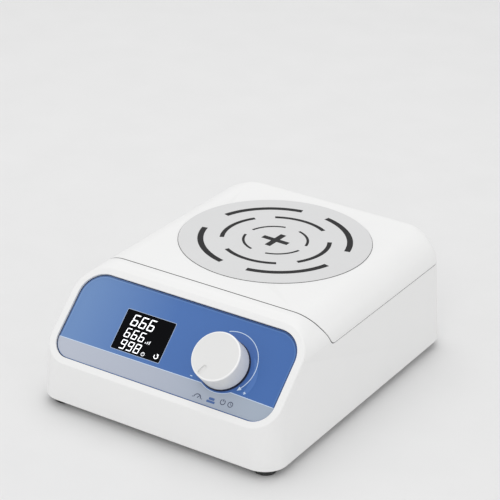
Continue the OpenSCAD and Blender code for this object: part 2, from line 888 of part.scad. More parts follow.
// The slotted wheel that the speed sensor counts
module speed_disc() {
    color([0.15, 0.15, 0.16]) on_spin_axis() translate([0, 0, disc_z]) difference() {
        ring(disc_r, hub_r, disc_t);
        for (k = [0 : disc_slots - 1]) rotate([0, 0, k * 360 / disc_slots])
            translate([disc_r - 4, -0.9, -cut]) cube([3, 1.8, 4]);
    }
}

module speed_sensor() {
    slot_gap = 0.9;
    color([0.08, 0.08, 0.08]) on_spin_axis() difference() {
        translate([-5, disc_r - 5, bracket_z + bracket_t]) cube([10, 9, 10]);
        translate([-10, 0, disc_z - slot_gap]) cube([20, disc_r + 1, disc_t + 2 * slot_gap]);
    }
}

// ---------------------------------------------------------------- driver electronics

driver_hole_in = 5;
driver_hole_x = driver_x - driver_hole_in;
driver_holes_y = [driver_front + driver_hole_in, driver_rear - driver_hole_in];

module at_driver_holes() {
    for (sx = [-1, 1], y = driver_holes_y) translate([sx * driver_hole_x, y, 0]) children();
}

module driver_board() {
    color([0.1, 0.35, 0.2]) difference() {
        translate([-driver_x, driver_front, driver_z])
            cube([2 * driver_x, driver_rear - driver_front, board_t]);
        at_driver_holes() translate([0, 0, driver_z - cut]) cylinder(r = clear_r, h = 4);
    }
}

module driver_standoffs() {
    color([0.78, 0.7, 0.45]) at_driver_holes() difference() {
        translate([0, 0, floor_z]) cylinder(r = 3.2, h = driver_z - floor_z, $fn = 6);
        translate([0, 0, floor_z + 1]) cylinder(r = pilot_r, h = 10);
    }
}

module driver_board_screws() {
    screw_len = 5;
    color([0.6, 0.6, 0.62]) at_driver_holes() translate([0, 0, driver_top - screw_len])
        pan_screw(pilot_r, screw_len, 2.6, 1.6);
}

module transformer() {
    color([0.85, 0.75, 0.3]) translate([-40, -36, driver_top]) {
        translate([-13, -10, 0]) cube([26, 20, 22]);
        translate([-17, -6, 2]) cube([34, 12, 18]);
    }
}

module capacitors() {
    color([0.12, 0.14, 0.2]) {
        for (y = [-30, -48]) translate([-8, y, driver_top]) cylinder(r = 7, h = 22);
        for (y = [-26, -38, -50]) translate([8, y, driver_top]) cylinder(r = 4, h = 14);
    }
}

module heat_sink() {
    fins = 6;
    fin_t = 2;
    fin_pitch = 7.2;
    sink_h = 24;
    color([0.25, 0.25, 0.27]) translate([26, -56, driver_top]) {
        cube([3, (fins - 1) * fin_pitch + fin_t, sink_h]);
        for (k = [0 : fins - 1]) translate([0, k * fin_pitch, 0]) cube([15, fin_t, sink_h]);
    }
}

module power_chips() {
    color([0.08, 0.08, 0.08]) {
        for (y = [-50, -34]) translate([21.4, y, driver_top + 4]) cube([4.6, 10, 15]);
        translate([-20, -84, driver_top]) cube([14, 14, 1.6]);
        translate([10, -82, driver_top]) cube([10, 6, 1.6]);
    }
}

// Plug housings on the driver board: mains at the left rear, motor, ribbon
module board_connectors() {
    color([0.93, 0.92, 0.86]) {
        translate([-60, -25.5, driver_top]) cube([10, 7.5, 8]);
        translate([10, -22, driver_top]) cube([12, 6, 7]);
        translate([6, -70, driver_top]) cube([18, 6, 6]);
    }
}

// Flat cable between the two boards
module ribbon_cable() {
    route = [[-83.5, 37.5], [-79, 33.5], [-72, 31], [-67.6, 27], [-67, 21.6]];
    thick = 0.8;
    side = concat([for (p = route) p],
                  [for (i = [len(route) - 1 : -1 : 0]) route[i] + [thick, thick]]);
    color([0.75, 0.76, 0.78]) translate([8, 0, 0]) rotate([90, 0, 90])
        linear_extrude(14) polygon(side);
}

module motor_cable() {
    color([0.15, 0.15, 0.16])
        wire([[6, plate_y - motor_r - 1, 34], [8, -4, 31], [13, -13, 28], [16, -19, 24.5]], 1.8);
}

// Three wires from the inlet's terminals along the left wall to the driver board
module mains_wires() {
    start_y = inlet_back - pin_tail - 0.1;
    plug_y = -17.9;
    plug_z = driver_top + 5;
    for (k = [0 : 2]) {
        x = inlet_x + (k - 1) * pin_pitch;
        rise = k == 1 ? earth_rise : 0;
        side = k * wire_pitch;
        color([[0.35, 0.2, 0.1], [0.1, 0.2, 0.6], [0.3, 0.6, 0.2]][k])
            wire([[x, start_y, socket_z + rise], [x, start_y - 3, socket_z + rise],
                  [side - 62, 68, 30 + rise], [side - 68, 54, 16], [side - 68, 0, 16],
                  [side - 58.4, plug_y + 8, plug_z], [side - 58.4, plug_y, plug_z]], wire_r);
    }
}

// ---------------------------------------------------------------- mains inlet

// The socket's mouth: a rectangle with its two upper corners cut off
module socket_outline() {
    w = socket_w / 2;
    h = socket_h / 2;
    bevel = 5;
    polygon([[-w, -h], [w, -h], [w, h - bevel], [w - bevel, h], [-w + bevel, h], [-w, h - bevel]]);
}

// The three contact blades, as holes in the inlet's body or as the blades themselves
module blades(front) {
    for (k = [-1 : 1])
        translate([inlet_x + k * pin_pitch - pin_w / 2, inlet_back - pin_tail,
                   socket_z + (k == 0 ? earth_rise : 0) - pin_h / 2])
        cube([pin_w, front - inlet_back + pin_tail, pin_h]);
}

module power_inlet() {
    floor_y = flange_y - socket_depth;
    color([0.08, 0.08, 0.09]) difference() {
        union() {
            translate([inlet_x, flange_y, flange_mid_z]) rotate([90, 0, 0])
                linear_extrude(flange_t) soft_rect(flange_w, flange_h, 3);
            translate([inlet_x - inlet_body_w / 2, inlet_back, inlet_body_low])
                cube([inlet_body_w, flange_y - inlet_back - 1, inlet_body_high - inlet_body_low]);
        }
        translate([inlet_x, flange_y + cut, socket_z]) rotate([90, 0, 0])
            linear_extrude(socket_depth + cut) socket_outline();
        blades(floor_y + 1);
        translate([inlet_x - drawer_w / 2 - drawer_gap, flange_y - drawer_len - 1,
                   drawer_z - drawer_h / 2 - drawer_gap])
            cube([drawer_w + 2 * drawer_gap, drawer_len + 10, drawer_h + 2 * drawer_gap]);
        for (sx = [-1, 1])
            translate([inlet_x + sx * inlet_screw_pitch / 2, pocket_y - 10, flange_mid_z])
                rotate([-90, 0, 0]) cylinder(r = clear_r, h = 30);
    }
}

module inlet_pins() {
    color([0.8, 0.78, 0.65]) blades(flange_y - 4);
}

module inlet_screws() {
    color([0.6, 0.6, 0.62]) for (sx = [-1, 1])
        translate([inlet_x + sx * inlet_screw_pitch / 2, flange_y - 7, flange_mid_z])
            rotate([-90, 0, 0]) pan_screw(1.5, 7, 2.7, 1.4);
}

module fuse_drawer() {
    low = drawer_z - drawer_h / 2;
    trough_r = fuse_r + 0.1;
    trough_len = fuse_len + 0.6;
    color([0.1, 0.1, 0.11]) translate([inlet_x, 0, 0]) difference() {
        union() {
            translate([-drawer_w / 2, flange_y - drawer_len, low])
                cube([drawer_w, drawer_len, drawer_h]);
            translate([-drawer_w / 2, flange_y, low])
                cube([drawer_w, drawer_face_t, drawer_h]);
            translate([-4, flange_y, low + drawer_h - 1.2]) cube([8, 2.2, 1.2]);
        }
        // Two troughs for the fuse in use and the spare
        for (sx = [-1, 1]) translate([sx * fuse_x, flange_y - drawer_len + 1, low + 4.2]) {
            rotate([-90, 0, 0]) cylinder(r = trough_r, h = trough_len);
            translate([-trough_r, 0, 0]) cube([2 * trough_r, trough_len, 5]);
        }
    }
}

module fuses() {
    low = drawer_z - drawer_h / 2;
    color([0.85, 0.9, 0.9]) for (sx = [-1, 1])
        translate([inlet_x + sx * fuse_x, flange_y - drawer_len + 1.3, low + 4.1])
            rotate([-90, 0, 0]) {
                cylinder(r = 2.2, h = fuse_len);
                for (z = [0, fuse_len - 5]) translate([0, 0, z]) cylinder(r = fuse_r, h = 5);
            }
}

lower_housing();
top_cover();
base_plate();
rubber_feet();
foot_screws();
base_screws();
cover_screws();
platform_plate();
platform_adhesive();
panel_film();
display_window();
display_module();
control_board();
control_chips();
control_board_screws();
buzzer();
encoder_body();
encoder_nut();
encoder_plunger();
encoder_shaft();
speed_knob();
knob_cap();
motor_housing();
motor_end_bell();
stator_core();
stator_coils();
motor_rotor();
motor_shaft();
upper_bearing();
lower_bearing();
shaft_clip();
motor_bracket();
bracket_posts();
vibration_grommets();
bracket_screws();
motor_screws();
magnet_holder();
drive_magnets();
holder_set_screw();
speed_disc();
speed_sensor();
driver_board();
driver_standoffs();
driver_board_screws();
transformer();
capacitors();
heat_sink();
power_chips();
board_connectors();
ribbon_cable();
motor_cable();
mains_wires();
power_inlet();
inlet_pins();
inlet_screws();
fuse_drawer();
fuses();
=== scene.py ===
import math

import bmesh
import bpy
from mathutils import Matrix, Vector


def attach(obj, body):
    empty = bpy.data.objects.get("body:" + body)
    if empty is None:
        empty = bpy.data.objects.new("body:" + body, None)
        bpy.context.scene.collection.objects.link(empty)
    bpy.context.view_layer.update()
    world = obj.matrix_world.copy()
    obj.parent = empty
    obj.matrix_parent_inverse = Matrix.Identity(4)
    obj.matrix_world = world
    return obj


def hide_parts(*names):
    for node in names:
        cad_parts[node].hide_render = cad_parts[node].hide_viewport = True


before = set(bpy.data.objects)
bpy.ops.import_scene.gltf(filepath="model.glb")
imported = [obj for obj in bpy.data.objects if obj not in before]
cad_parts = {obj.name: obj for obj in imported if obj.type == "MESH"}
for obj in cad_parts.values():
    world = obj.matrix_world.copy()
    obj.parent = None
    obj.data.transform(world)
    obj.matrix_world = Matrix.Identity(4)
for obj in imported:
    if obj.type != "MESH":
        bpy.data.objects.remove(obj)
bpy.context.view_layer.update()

# ------------------------------------------------------------------ driving sizes, in millimetres
# Lengths are in millimetres in the row frame, and the meshes are scaled to metres at the end.

MM = 0.001
CASE_W, CASE_D = 188.0, 238.0      # case at its base
CORNER_R = 17.0                    # upright corners
DRAFT = math.radians(3)            # lean of the outer walls
SHOULDER_R = 24.0                  # long side shoulders
REAR_EDGE_R = 7.0                  # edge between the rear wall and the top
WALL = 2.6                         # moulded walls
BASE_Z = 6.0                       # underside of the case
TOP_Z = 88.6                       # top of the cover
BASE_EDGE = 0.8                    # rounding of the case's bottom rim

SEAM_DROP = 20.9                   # seam below the cover's top, along the sides
SEAM_Y = -54.2                     # seam across the top
SEAM_SLANT = math.radians(25.5)    # backward slant of its front run
SEAM_BEND_R = 6.0                  # radius of its lower bend
SEAM_GAP = 0.45                    # open width of the seam, about twice that on its front run
SHADE_STRIP_DROP = 0.12                   # depth of the dark strip in the seam, painted shade for the gap
WELD = 0.2                         # how far a post runs into the wall that it grows from
CUT_REACH = 20.0                   # how far a cutter runs on past the face that it opens

PLATE_Y = 31.2                     # platform centre behind the middle
PLATE_R = 67.5
PLATE_TOP = 89.2
PLATE_T = 1.6
PLATE_LOW = 87.2                   # floor of the platform's seat
SEAT_GAP = 0.3                     # gap round the platform in its seat

SLOPE = math.radians(43.9)         # control panel's slope
PANEL_Y, PANEL_Z = -104.42, 46.8   # where the film's colour change meets the middle
PANEL_HALF_W = 85.4
PANEL_LOW, PANEL_HIGH = -13.5, 50.3
PANEL_R_TOP, PANEL_R_LOW = 18.0, 14.0
BEZEL_W, BEZEL_RISE, BEZEL_EDGE = 5.4, 1.5, 1.2
FILM_T, BED_T = 0.6, 2.0
FILM_GAP = 0.4                     # gap round the film in its recess

DISPLAY_X, DISPLAY_S = -25.0, 17.9
DISPLAY_W, DISPLAY_H = 38.5, 28.7
WINDOW_GAP = 0.2                   # gap round the display in its window
KNOB_X, KNOB_S = 40.0, 16.2
KNOB_R, KNOB_FACE_R = 17.2, 17.0
KNOB_GAP, KNOB_LEN = 1.2, 15.7
BUSH_R = 3.7                       # hole for the encoder's bushing
DIAL_X, DIAL_S, DIAL_R = 40.5, 18.7, 21.3

FOOT_X, FOOT_Y, FOOT_R = 80.0, 105.0, 9.5

# Screw posts, their pilot holes, and holes that a screw passes through
POST_R, PILOT_R, CLEAR_R = 4.5, 1.3, 1.7
SCREW_X, SCREW_Y = 76.0, 84.0      # base plate's screws
BASE_POST_LOW, BASE_POST_HIGH, BASE_PILOT = 8.0, 24.0, 14.0
LUG_X, LUG_YS, LUG_Z = 72.0, (-28.0, 86.0), 52.0   # lugs that the cover's screws pass through
LUG_T, LUG_REACH = 3.0, 18.4
COVER_PILOT = 13.0
BOARD_HOLE_X, BOARD_HOLE_S = 72.0, (2.0, 36.0)     # control board's screws, in the panel's frame
BOARD_TOP, BOARD_POST_R, BOARD_PILOT = -12.4, 3.5, 8.0

INLET_X, POCKET_Y = -48.0, 112.5   # mains inlet and the floor of its pocket
FLANGE_W, FLANGE_H, FLANGE_Z = 50.0, 32.0, 35.0
FLANGE_GAP = 0.3
INLET_W, INLET_H, INLET_Z = 29.4, 29.2, 34.4       # hole for the inlet's body
PAD_T, PAD_REACH = 3.2, 2.6        # pad in front of the pocket's floor, and its run into the wall

PANEL = Matrix.Translation((0, PANEL_Y, PANEL_Z)) @ Matrix.Rotation(SLOPE, 4, "X")
KNOB = PANEL @ Matrix.Translation((KNOB_X, KNOB_S, 0))
SPIN = Matrix.Translation((0, PLATE_Y, 0))

# ------------------------------------------------------------------ mesh helpers


def add_object(name, mesh, material=None):
    """Links a mesh, given in millimetres, as a new object in metres."""
    mesh.transform(Matrix.Scale(MM, 4))
    obj = bpy.data.objects.new(name, mesh)
    bpy.context.scene.collection.objects.link(obj)
    if material:
        mesh.materials.append(material)
    return obj


def mesh_from(bm, name, place=None):
    if place is not None:
        bm.transform(place)
    bmesh.ops.recalc_face_normals(bm, faces=bm.faces)
    mesh = bpy.data.meshes.new(name)
    bm.to_mesh(mesh)
    bm.free()
    return mesh


def convex(points, name):
    """Convex hull of points, its flat areas joined into single faces."""
    bm = bmesh.new()
    for p in points:
        bm.verts.new(p)
    hull = bmesh.ops.convex_hull(bm, input=bm.verts, use_existing_faces=False)
    unused = hull["geom_interior"] + hull["geom_unused"]
    loose = [g for g in unused if isinstance(g, bmesh.types.BMVert)]
    bmesh.ops.delete(bm, geom=list(set(loose)), context="VERTS")
    bmesh.ops.dissolve_limit(bm, angle_limit=math.radians(0.05), verts=bm.verts, edges=bm.edges)
    return mesh_from(bm, name)


def prism(outline, low, high, name, place=None, bevel=0.0):
    """A straight prism on an outline of (x, y) points, from height low to high."""
    bm = bmesh.new()
    verts = [bm.verts.new((x, y, low)) for x, y in outline]
    face = bm.faces.new(verts)
    out = bmesh.ops.extrude_face_region(bm, geom=[face])
    top = [g for g in out["geom"] if isinstance(g, bmesh.types.BMVert)]
    bmesh.ops.translate(bm, vec=(0, 0, high - low), verts=top)
    if bevel:
        rims = [e for e in bm.edges if all(v in top for v in e.verts)]
        bmesh.ops.bevel(bm, geom=rims, offset=bevel, segments=2, profile=0.5, affect="EDGES")
    return mesh_from(bm, name, place)


def lathe(profile, name, place=None, steps=96):
    """Turns a profile of (radius, height) points round Z."""
    bm = bmesh.new()
    rings = []
    for r, z in profile:
        if r < 1e-6:
            rings.append([bm.verts.new((0, 0, z))])
        else:
            rings.append([bm.verts.new((r * math.cos(k * math.tau / steps),
                                        r * math.sin(k * math.tau / steps), z)) for k in range(steps)])
    for a, b in zip(rings, rings[1:]):
        for k in range(steps):
            j = (k + 1) % steps
            corners = [a[k % len(a)], a[j % len(a)], b[j % len(b)], b[k % len(b)]]
            bm.faces.new(list(dict.fromkeys(corners)))
    return mesh_from(bm, name, place)


def boolean(mesh, others, operation, name):
    """The result of one exact boolean of a mesh with each of the others in turn."""
    host = bpy.data.objects.new("host", mesh)
    bpy.context.scene.collection.objects.link(host)
    tools = []
    for k, other in enumerate(others):
        tool = bpy.data.objects.new(f"tool_{k}", other)
        bpy.context.scene.collection.objects.link(tool)
        tool.hide_render = True
        modifier = host.modifiers.new(f"cut_{k}", "BOOLEAN")
        modifier.operation = operation
        modifier.solver = "EXACT"
        modifier.object = tool
        tools.append(tool)
    graph = bpy.context.evaluated_depsgraph_get()
    result = bpy.data.meshes.new_from_object(host.evaluated_get(graph))
    result.name = name
    for obj in [host, *tools]:
        bpy.data.objects.remove(obj)
    return result


def arc(cx, cy, r, start, end, steps):
    """Points along a circular arc, angles in degrees."""
    return [(cx + r * math.cos(math.radians(start + (end - start) * k / steps)),
             cy + r * math.sin(math.radians(start + (end - start) * k / steps)))
            for k in range(steps + 1)]


def soft_rect(w, h, r, cx=0.0, cy=0.0, steps=8):
    """Outline of a rectangle with round corners, anticlockwise."""
    x, y = w / 2 - r, h / 2 - r
    corners = [(cx + x, cy - y, -90), (cx + x, cy + y, 0), (cx - x, cy + y, 90), (cx - x, cy - y, 180)]
    return [p for px, py, a in corners for p in arc(px, py, r, a, a + 90, steps)]


def panel_outline(margin=0.0, steps=24):
    """Outline of the control panel, grown by a margin, anticlockwise."""
    w, low, high = PANEL_HALF_W + margin, PANEL_LOW - margin, PANEL_HIGH + margin
    rl, rt = PANEL_R_LOW + margin, PANEL_R_TOP + margin
    return (arc(w - rl, low + rl, rl, -90, 0, steps) + arc(w - rt, high - rt, rt, 0, 90, steps)
            + arc(-w + rt, high - rt, rt, 90, 180, steps) + arc(-w + rl, low + rl, rl, 180, 270, steps))


def smooth(obj, angle=30, bevel=0.0):
    """Smooth shading with crisp edges, and small round edges where a bevel width in mm is given."""
    mesh = obj.data
    mesh.polygons.foreach_set("use_smooth", [True] * len(mesh.polygons))
    if bevel:
        modifier = obj.modifiers.new("round_edges", "BEVEL")
        modifier.width = bevel * MM
        modifier.segments = 2
        modifier.limit_method = "ANGLE"
        modifier.angle_limit = math.radians(angle)
        modifier.miter_outer = "MITER_ARC"
        modifier.harden_normals = False
    else:
        mesh.set_sharp_from_angle(angle=math.radians(angle))
    weighted = obj.modifiers.new("even_normals", "WEIGHTED_NORMAL")
    weighted.keep_sharp = not bevel
    weighted.weight = 100
    return obj


# ------------------------------------------------------------------ materials

NOISE_ROUGHNESS = 0.55
NOISE_LOW, NOISE_HIGH = 0.3, 0.7     # noise values that the two ends of a change sit at
MOTTLE_SCALE = 22.0                  # patches of mottling per metre
WEAR_START, WEAR_FULL = 0.52, 0.62   # pointiness of an edge where wear begins and where it is full


def shader(name, color, roughness, metallic=0.0, **sockets):
    """A Principled material; returns it with its node tree and its shader node."""
    material = bpy.data.materials.new(name)
    material.use_nodes = True
    tree = material.node_tree
    bsdf = next(n for n in tree.nodes if n.type == "BSDF_PRINCIPLED")
    bsdf.inputs["Base Color"].default_value = (*color, 1)
    bsdf.inputs["Roughness"].default_value = roughness
    bsdf.inputs["Metallic"].default_value = metallic
    for key, value in sockets.items():
        bsdf.inputs[key.replace("_", " ")].default_value = value
    return material, tree, bsdf


def noise(tree, scale, detail=4.0, stretch=(1, 1, 1)):
    """Noise over the object's own coordinates; the scale is in features per metre."""
    coords = tree.nodes.new("ShaderNodeTexCoord")
    mapping = tree.nodes.new("ShaderNodeMapping")
    mapping.inputs["Scale"].default_value = stretch
    texture = tree.nodes.new("ShaderNodeTexNoise")
    texture.inputs["Scale"].default_value = scale
    texture.inputs["Detail"].default_value = detail
    texture.inputs["Roughness"].default_value = NOISE_ROUGHNESS
    tree.links.new(coords.outputs["Object"], mapping.inputs["Vector"])
    tree.links.new(mapping.outputs["Vector"], texture.inputs["Vector"])
    return texture.outputs["Fac"]


def ramp(tree, source, stops):
    """A colour ramp; stops are (place, colour)."""
    node = tree.nodes.new("ShaderNodeValToRGB")
    elements = node.color_ramp.elements
    while len(elements) < len(stops):
        elements.new(0.5)
    for element, (place, color) in zip(elements, stops):
        element.position = place
        element.color = (*color, 1)
    tree.links.new(source, node.inputs["Fac"])
    return node.outputs["Color"]


def spread(tree, source, low, high, to_low, to_high):
    """Maps a value from one range to another."""
    node = tree.nodes.new("ShaderNodeMapRange")
    node.inputs["From Min"].default_value = low
    node.inputs["From Max"].default_value = high
    node.inputs["To Min"].default_value = to_low
    node.inputs["To Max"].default_value = to_high
    tree.links.new(source, node.inputs["Value"])
    return node.outputs["Result"]


def bump(tree, bsdf, heights):
    """Chains bumps onto the shader's normal; heights are (source, strength, distance in mm)."""
    normal = None
    for source, strength, distance in heights:
        node = tree.nodes.new("ShaderNodeBump")
        node.inputs["Strength"].default_value = strength
        node.inputs["Distance"].default_value = distance * MM
        tree.links.new(source, node.inputs["Height"])
        if normal is not None:
            tree.links.new(normal, node.inputs["Normal"])
        normal = node.outputs["Normal"]
    tree.links.new(normal, bsdf.inputs["Normal"])


def shade(color, factor):
    """A colour made lighter or darker by a factor."""
    return tuple(min(1.0, c * factor) for c in color)


def surface(name, color, rough, metallic=0.0, grain=900.0, grain_mm=0.05, grain_strength=0.2,
            mottle=0.04, rough_spread=0.08, wear=0.0, stretch=(1, 1, 1), **sockets):
    """A moulded, painted or machined surface: fine grain, faint mottling and worn edges."""
    material, tree, bsdf = shader(name, color, rough, metallic, **sockets)
    fine = noise(tree, grain, stretch=stretch)
    broad = noise(tree, MOTTLE_SCALE, detail=3.0)
    tone = ramp(tree, broad, [(NOISE_LOW, shade(color, 1 - mottle)),
                              (NOISE_HIGH, shade(color, 1 + mottle))])
    if wear:
        edges = tree.nodes.new("ShaderNodeNewGeometry").outputs["Pointiness"]
        rubbed = spread(tree, edges, WEAR_START, WEAR_FULL, 0.0, wear)
        mix = tree.nodes.new("ShaderNodeMix")
        mix.data_type = "RGBA"
        tree.links.new(rubbed, mix.inputs["Factor"])
        tree.links.new(tone, mix.inputs[6])
        # Wear brightens metal and dark plastic, and dulls light plastic
        rubbed_factor = 1.35 if metallic or sum(color) < 1 else 0.9
        mix.inputs[7].default_value = (*shade(color, rubbed_factor), 1)
        tone = mix.outputs[2]
    tree.links.new(tone, bsdf.inputs["Base Color"])
    uneven = spread(tree, broad, NOISE_LOW, NOISE_HIGH, rough - rough_spread, rough + rough_spread)
    tree.links.new(uneven, bsdf.inputs["Roughness"])
    bump(tree, bsdf, [(fine, grain_strength, grain_mm)])
    return material


def gradient_film(name, left, middle, right, rough):
    """Film whose colour darkens from left to right, with a fine matte texture."""
    material, tree, bsdf = shader(name, left, rough)
    coords = tree.nodes.new("ShaderNodeTexCoord")
    parts = tree.nodes.new("ShaderNodeSeparateXYZ")
    tree.links.new(coords.outputs["Object"], parts.inputs["Vector"])
    half = PANEL_HALF_W * MM
    across = spread(tree, parts.outputs["X"], -half, half, 0.0, 1.0)
    blue = ramp(tree, across, [(0.05, left), (0.45, middle), (1.0, right)])
    tree.links.new(blue, bsdf.inputs["Base Color"])
    bump(tree, bsdf, [(noise(tree, 2600.0), 0.12, 0.03)])
    return material


def glowing(name, color, power):
    """Lit display segments, a little uneven from lamp to lamp."""
    material, tree, bsdf = shader(name, color, 0.4)
    lamps = noise(tree, 160.0, detail=1.0)
    uneven = ramp(tree, lamps, [(NOISE_LOW, shade(color, 0.86)), (NOISE_HIGH, color)])
    tree.links.new(uneven, bsdf.inputs["Emission Color"])
    bsdf.inputs["Emission Strength"].default_value = power
    return material


mat = {
    "case": surface("case_plastic", (0.86, 0.86, 0.857), 0.42, grain=1500, grain_mm=0.02,
                    grain_strength=0.25, mottle=0.006, rough_spread=0.04, wear=0.25),
    "cover": surface("cover_plastic", (0.87, 0.87, 0.867), 0.40, grain=1500, grain_mm=0.02,
                     grain_strength=0.25, mottle=0.006, rough_spread=0.04, wear=0.25),
    "base": surface("base_plastic", (0.60, 0.60, 0.60), 0.55, grain=900, grain_strength=0.4, mottle=0.02),
    "rubber": surface("foot_rubber", (0.025, 0.025, 0.026), 0.72, grain=1400, grain_mm=0.08,
                      grain_strength=0.5, mottle=0.15, wear=0.5),
    "platform": surface("platform_coating", (0.69, 0.692, 0.695), 0.36, grain=2200, grain_mm=0.02,
                        grain_strength=0.3, mottle=0.012, rough_spread=0.05, wear=0.3),
    "plate_side_shade": surface("platform_side_shade", (0.10, 0.10, 0.105), 0.5, grain=1800, mottle=0.06),
    "target": surface("target_print", (0.02, 0.02, 0.021), 0.6, grain=1800, grain_strength=0.3,
                      mottle=0.12, Specular_IOR_Level=0.16),
    "film": gradient_film("film_blue", (0.136, 0.255, 0.515), (0.056, 0.156, 0.435),
                          (0.042, 0.135, 0.405), 0.38),
    "silver": gradient_film("film_silver", (0.475, 0.512, 0.60), (0.428, 0.468, 0.56),
                            (0.352, 0.415, 0.505), 0.34),
    "print_light": surface("film_print_light", (0.62, 0.74, 0.90), 0.42, grain=2000, mottle=0.03),
    "border": surface("film_print_border", (0.42, 0.52, 0.70), 0.42, grain=2000, mottle=0.03),
    "print_dark": surface("film_print_dark", (0.045, 0.055, 0.11), 0.45, grain=2000, mottle=0.05),
    "print_blue": surface("film_print_blue", (0.06, 0.13, 0.34), 0.45, grain=2000, mottle=0.05),
    "edge_painted_shade": gradient_film("film_edge_painted_shade", (0.05, 0.10, 0.26), (0.02, 0.055, 0.17),
                               (0.016, 0.045, 0.15), 0.4),
    "edge_painted_highlight": gradient_film("film_edge_painted_highlight", (0.17, 0.30, 0.56), (0.085, 0.20, 0.49),
                                (0.065, 0.175, 0.455), 0.36),
    "swoosh": surface("film_print_swoosh", (0.072, 0.180, 0.480), 0.36, grain=2400, grain_strength=0.1,
                      mottle=0.02),
    "dial": gradient_film("film_dial", (0.06, 0.15, 0.42), (0.06, 0.15, 0.42),
                          (0.045, 0.13, 0.40), 0.36),
    "glass": surface("window_black", (0.004, 0.004, 0.005), 0.12, grain=60, grain_mm=0.01,
                     grain_strength=0.05, mottle=0.1, rough_spread=0.03, Specular_IOR_Level=0.03),
    "lit": glowing("display_lit", (0.95, 0.97, 1.0), 0.9),
    "lit_dim": glowing("display_lit_dim", (0.75, 0.77, 0.80), 0.45),
    "knob": surface("knob_plastic", (0.78, 0.78, 0.775), 0.34, grain=2200, grain_mm=0.02,
                    grain_strength=0.3, mottle=0.008, wear=0.2),
    "knob_rim_highlight": surface("knob_rim_gloss_and_highlight", (0.93, 0.93, 0.93), 0.16, grain=2600, grain_mm=0.01,
                        grain_strength=0.1, mottle=0.005, rough_spread=0.03),
    "screw": surface("zinc_screw", (0.62, 0.62, 0.63), 0.32, 1.0, grain=1500, mottle=0.06, wear=0.4),
    "steel": surface("plated_steel", (0.52, 0.53, 0.55), 0.34, 1.0, grain=700, grain_mm=0.03,
                     mottle=0.05, wear=0.3),
    "machined": surface("machined_metal", (0.72, 0.73, 0.75), 0.28, 1.0, grain=500, grain_mm=0.02,
                        mottle=0.04, stretch=(1, 1, 12)),
    "lamination": surface("stacked_sheet", (0.22, 0.22, 0.24), 0.45, 0.8, grain=300, grain_mm=0.05,
                          mottle=0.1, stretch=(0.05, 0.05, 8)),
    "copper": surface("copper_winding", (0.62, 0.24, 0.09), 0.35, 0.9, grain=700, grain_mm=0.15,
                      grain_strength=0.6, mottle=0.12, stretch=(0.1, 0.1, 6)),
    "brass": surface("brass_hex", (0.72, 0.52, 0.20), 0.3, 1.0, grain=600, mottle=0.06, wear=0.3),
    "nickel": surface("nickel_plate", (0.68, 0.68, 0.69), 0.18, 1.0, grain=900, grain_mm=0.01,
                      mottle=0.03),
    "board": surface("solder_mask", (0.012, 0.11, 0.045), 0.32, grain=500, grain_mm=0.03, mottle=0.2),
    "chip": surface("chip_epoxy", (0.018, 0.018, 0.018), 0.6, grain=2000, mottle=0.15),
    "black": surface("black_moulding", (0.02, 0.02, 0.021), 0.42, grain=1600, grain_strength=0.35,
                     mottle=0.12, wear=0.35),
    "ivory": surface("ivory_nylon", (0.72, 0.68, 0.55), 0.5, grain=1200, mottle=0.04),
    "tape": surface("winding_tape", (0.62, 0.46, 0.06), 0.4, grain=400, grain_mm=0.05, mottle=0.08),
    "can": surface("capacitor_sleeve", (0.02, 0.03, 0.09), 0.35, grain=600, mottle=0.1),
    "ribbon": surface("ribbon_grey", (0.48, 0.49, 0.51), 0.5, grain=800, grain_mm=0.1,
                      grain_strength=0.6, mottle=0.05, stretch=(1, 0.02, 0.02)),
    "wire": surface("wire_sleeve", (0.03, 0.03, 0.032), 0.5, grain=900, mottle=0.12),
    "contact": surface("tinned_contact", (0.66, 0.60, 0.45), 0.26, 1.0, grain=700, mottle=0.05),
    "fuse": surface("fuse_body", (0.70, 0.74, 0.74), 0.12, grain=300, mottle=0.04),
    "gap_shade": surface("gap_shade_strip", (0.04, 0.04, 0.042), 0.7, grain=1200, mottle=0.1),
    "navy_shade": surface("film_gap_shade", (0.012, 0.018, 0.05), 0.6, grain=1200, mottle=0.1),
    "adhesive": surface("adhesive_pad", (0.12, 0.12, 0.12), 0.8, grain=900, mottle=0.1),
}

# ------------------------------------------------------------------ case shells


def lean(z):
    """How far the outer walls lean in at a height."""
    return math.tan(DRAFT) * (z - BASE_Z)


def ring_points(place, r, steps=96):
    """Points round a circle in the plane of a placing matrix."""
    return [place @ Vector((r * math.cos(k * math.tau / steps), r * math.sin(k * math.tau / steps), 0))
            for k in range(steps)]


def shoulder_points(y, side_in, top_in, t):
    """Both shoulders of one upright slice across the case."""
    z = TOP_Z - SHOULDER_R - top_in
    x = CASE_W / 2 - lean(z) - SHOULDER_R - side_in
    turn = Matrix.Rotation(math.radians(90), 4, "X")
    return [p for sx in (-1, 1)
            for p in ring_points(Matrix.Translation((sx * x, y, z)) @ turn, SHOULDER_R - t, 120)]


# The top rolls over into the bezel in a short round edge. Each slice across it has its distance
# in front of the seam, and how far its sides and its top are drawn in.
ROLL_OVER = [(4, 0, 0), (5.5, 0.1, 0.15), (7, 0.35, 0.55), (8.3, 0.7, 1.15)]


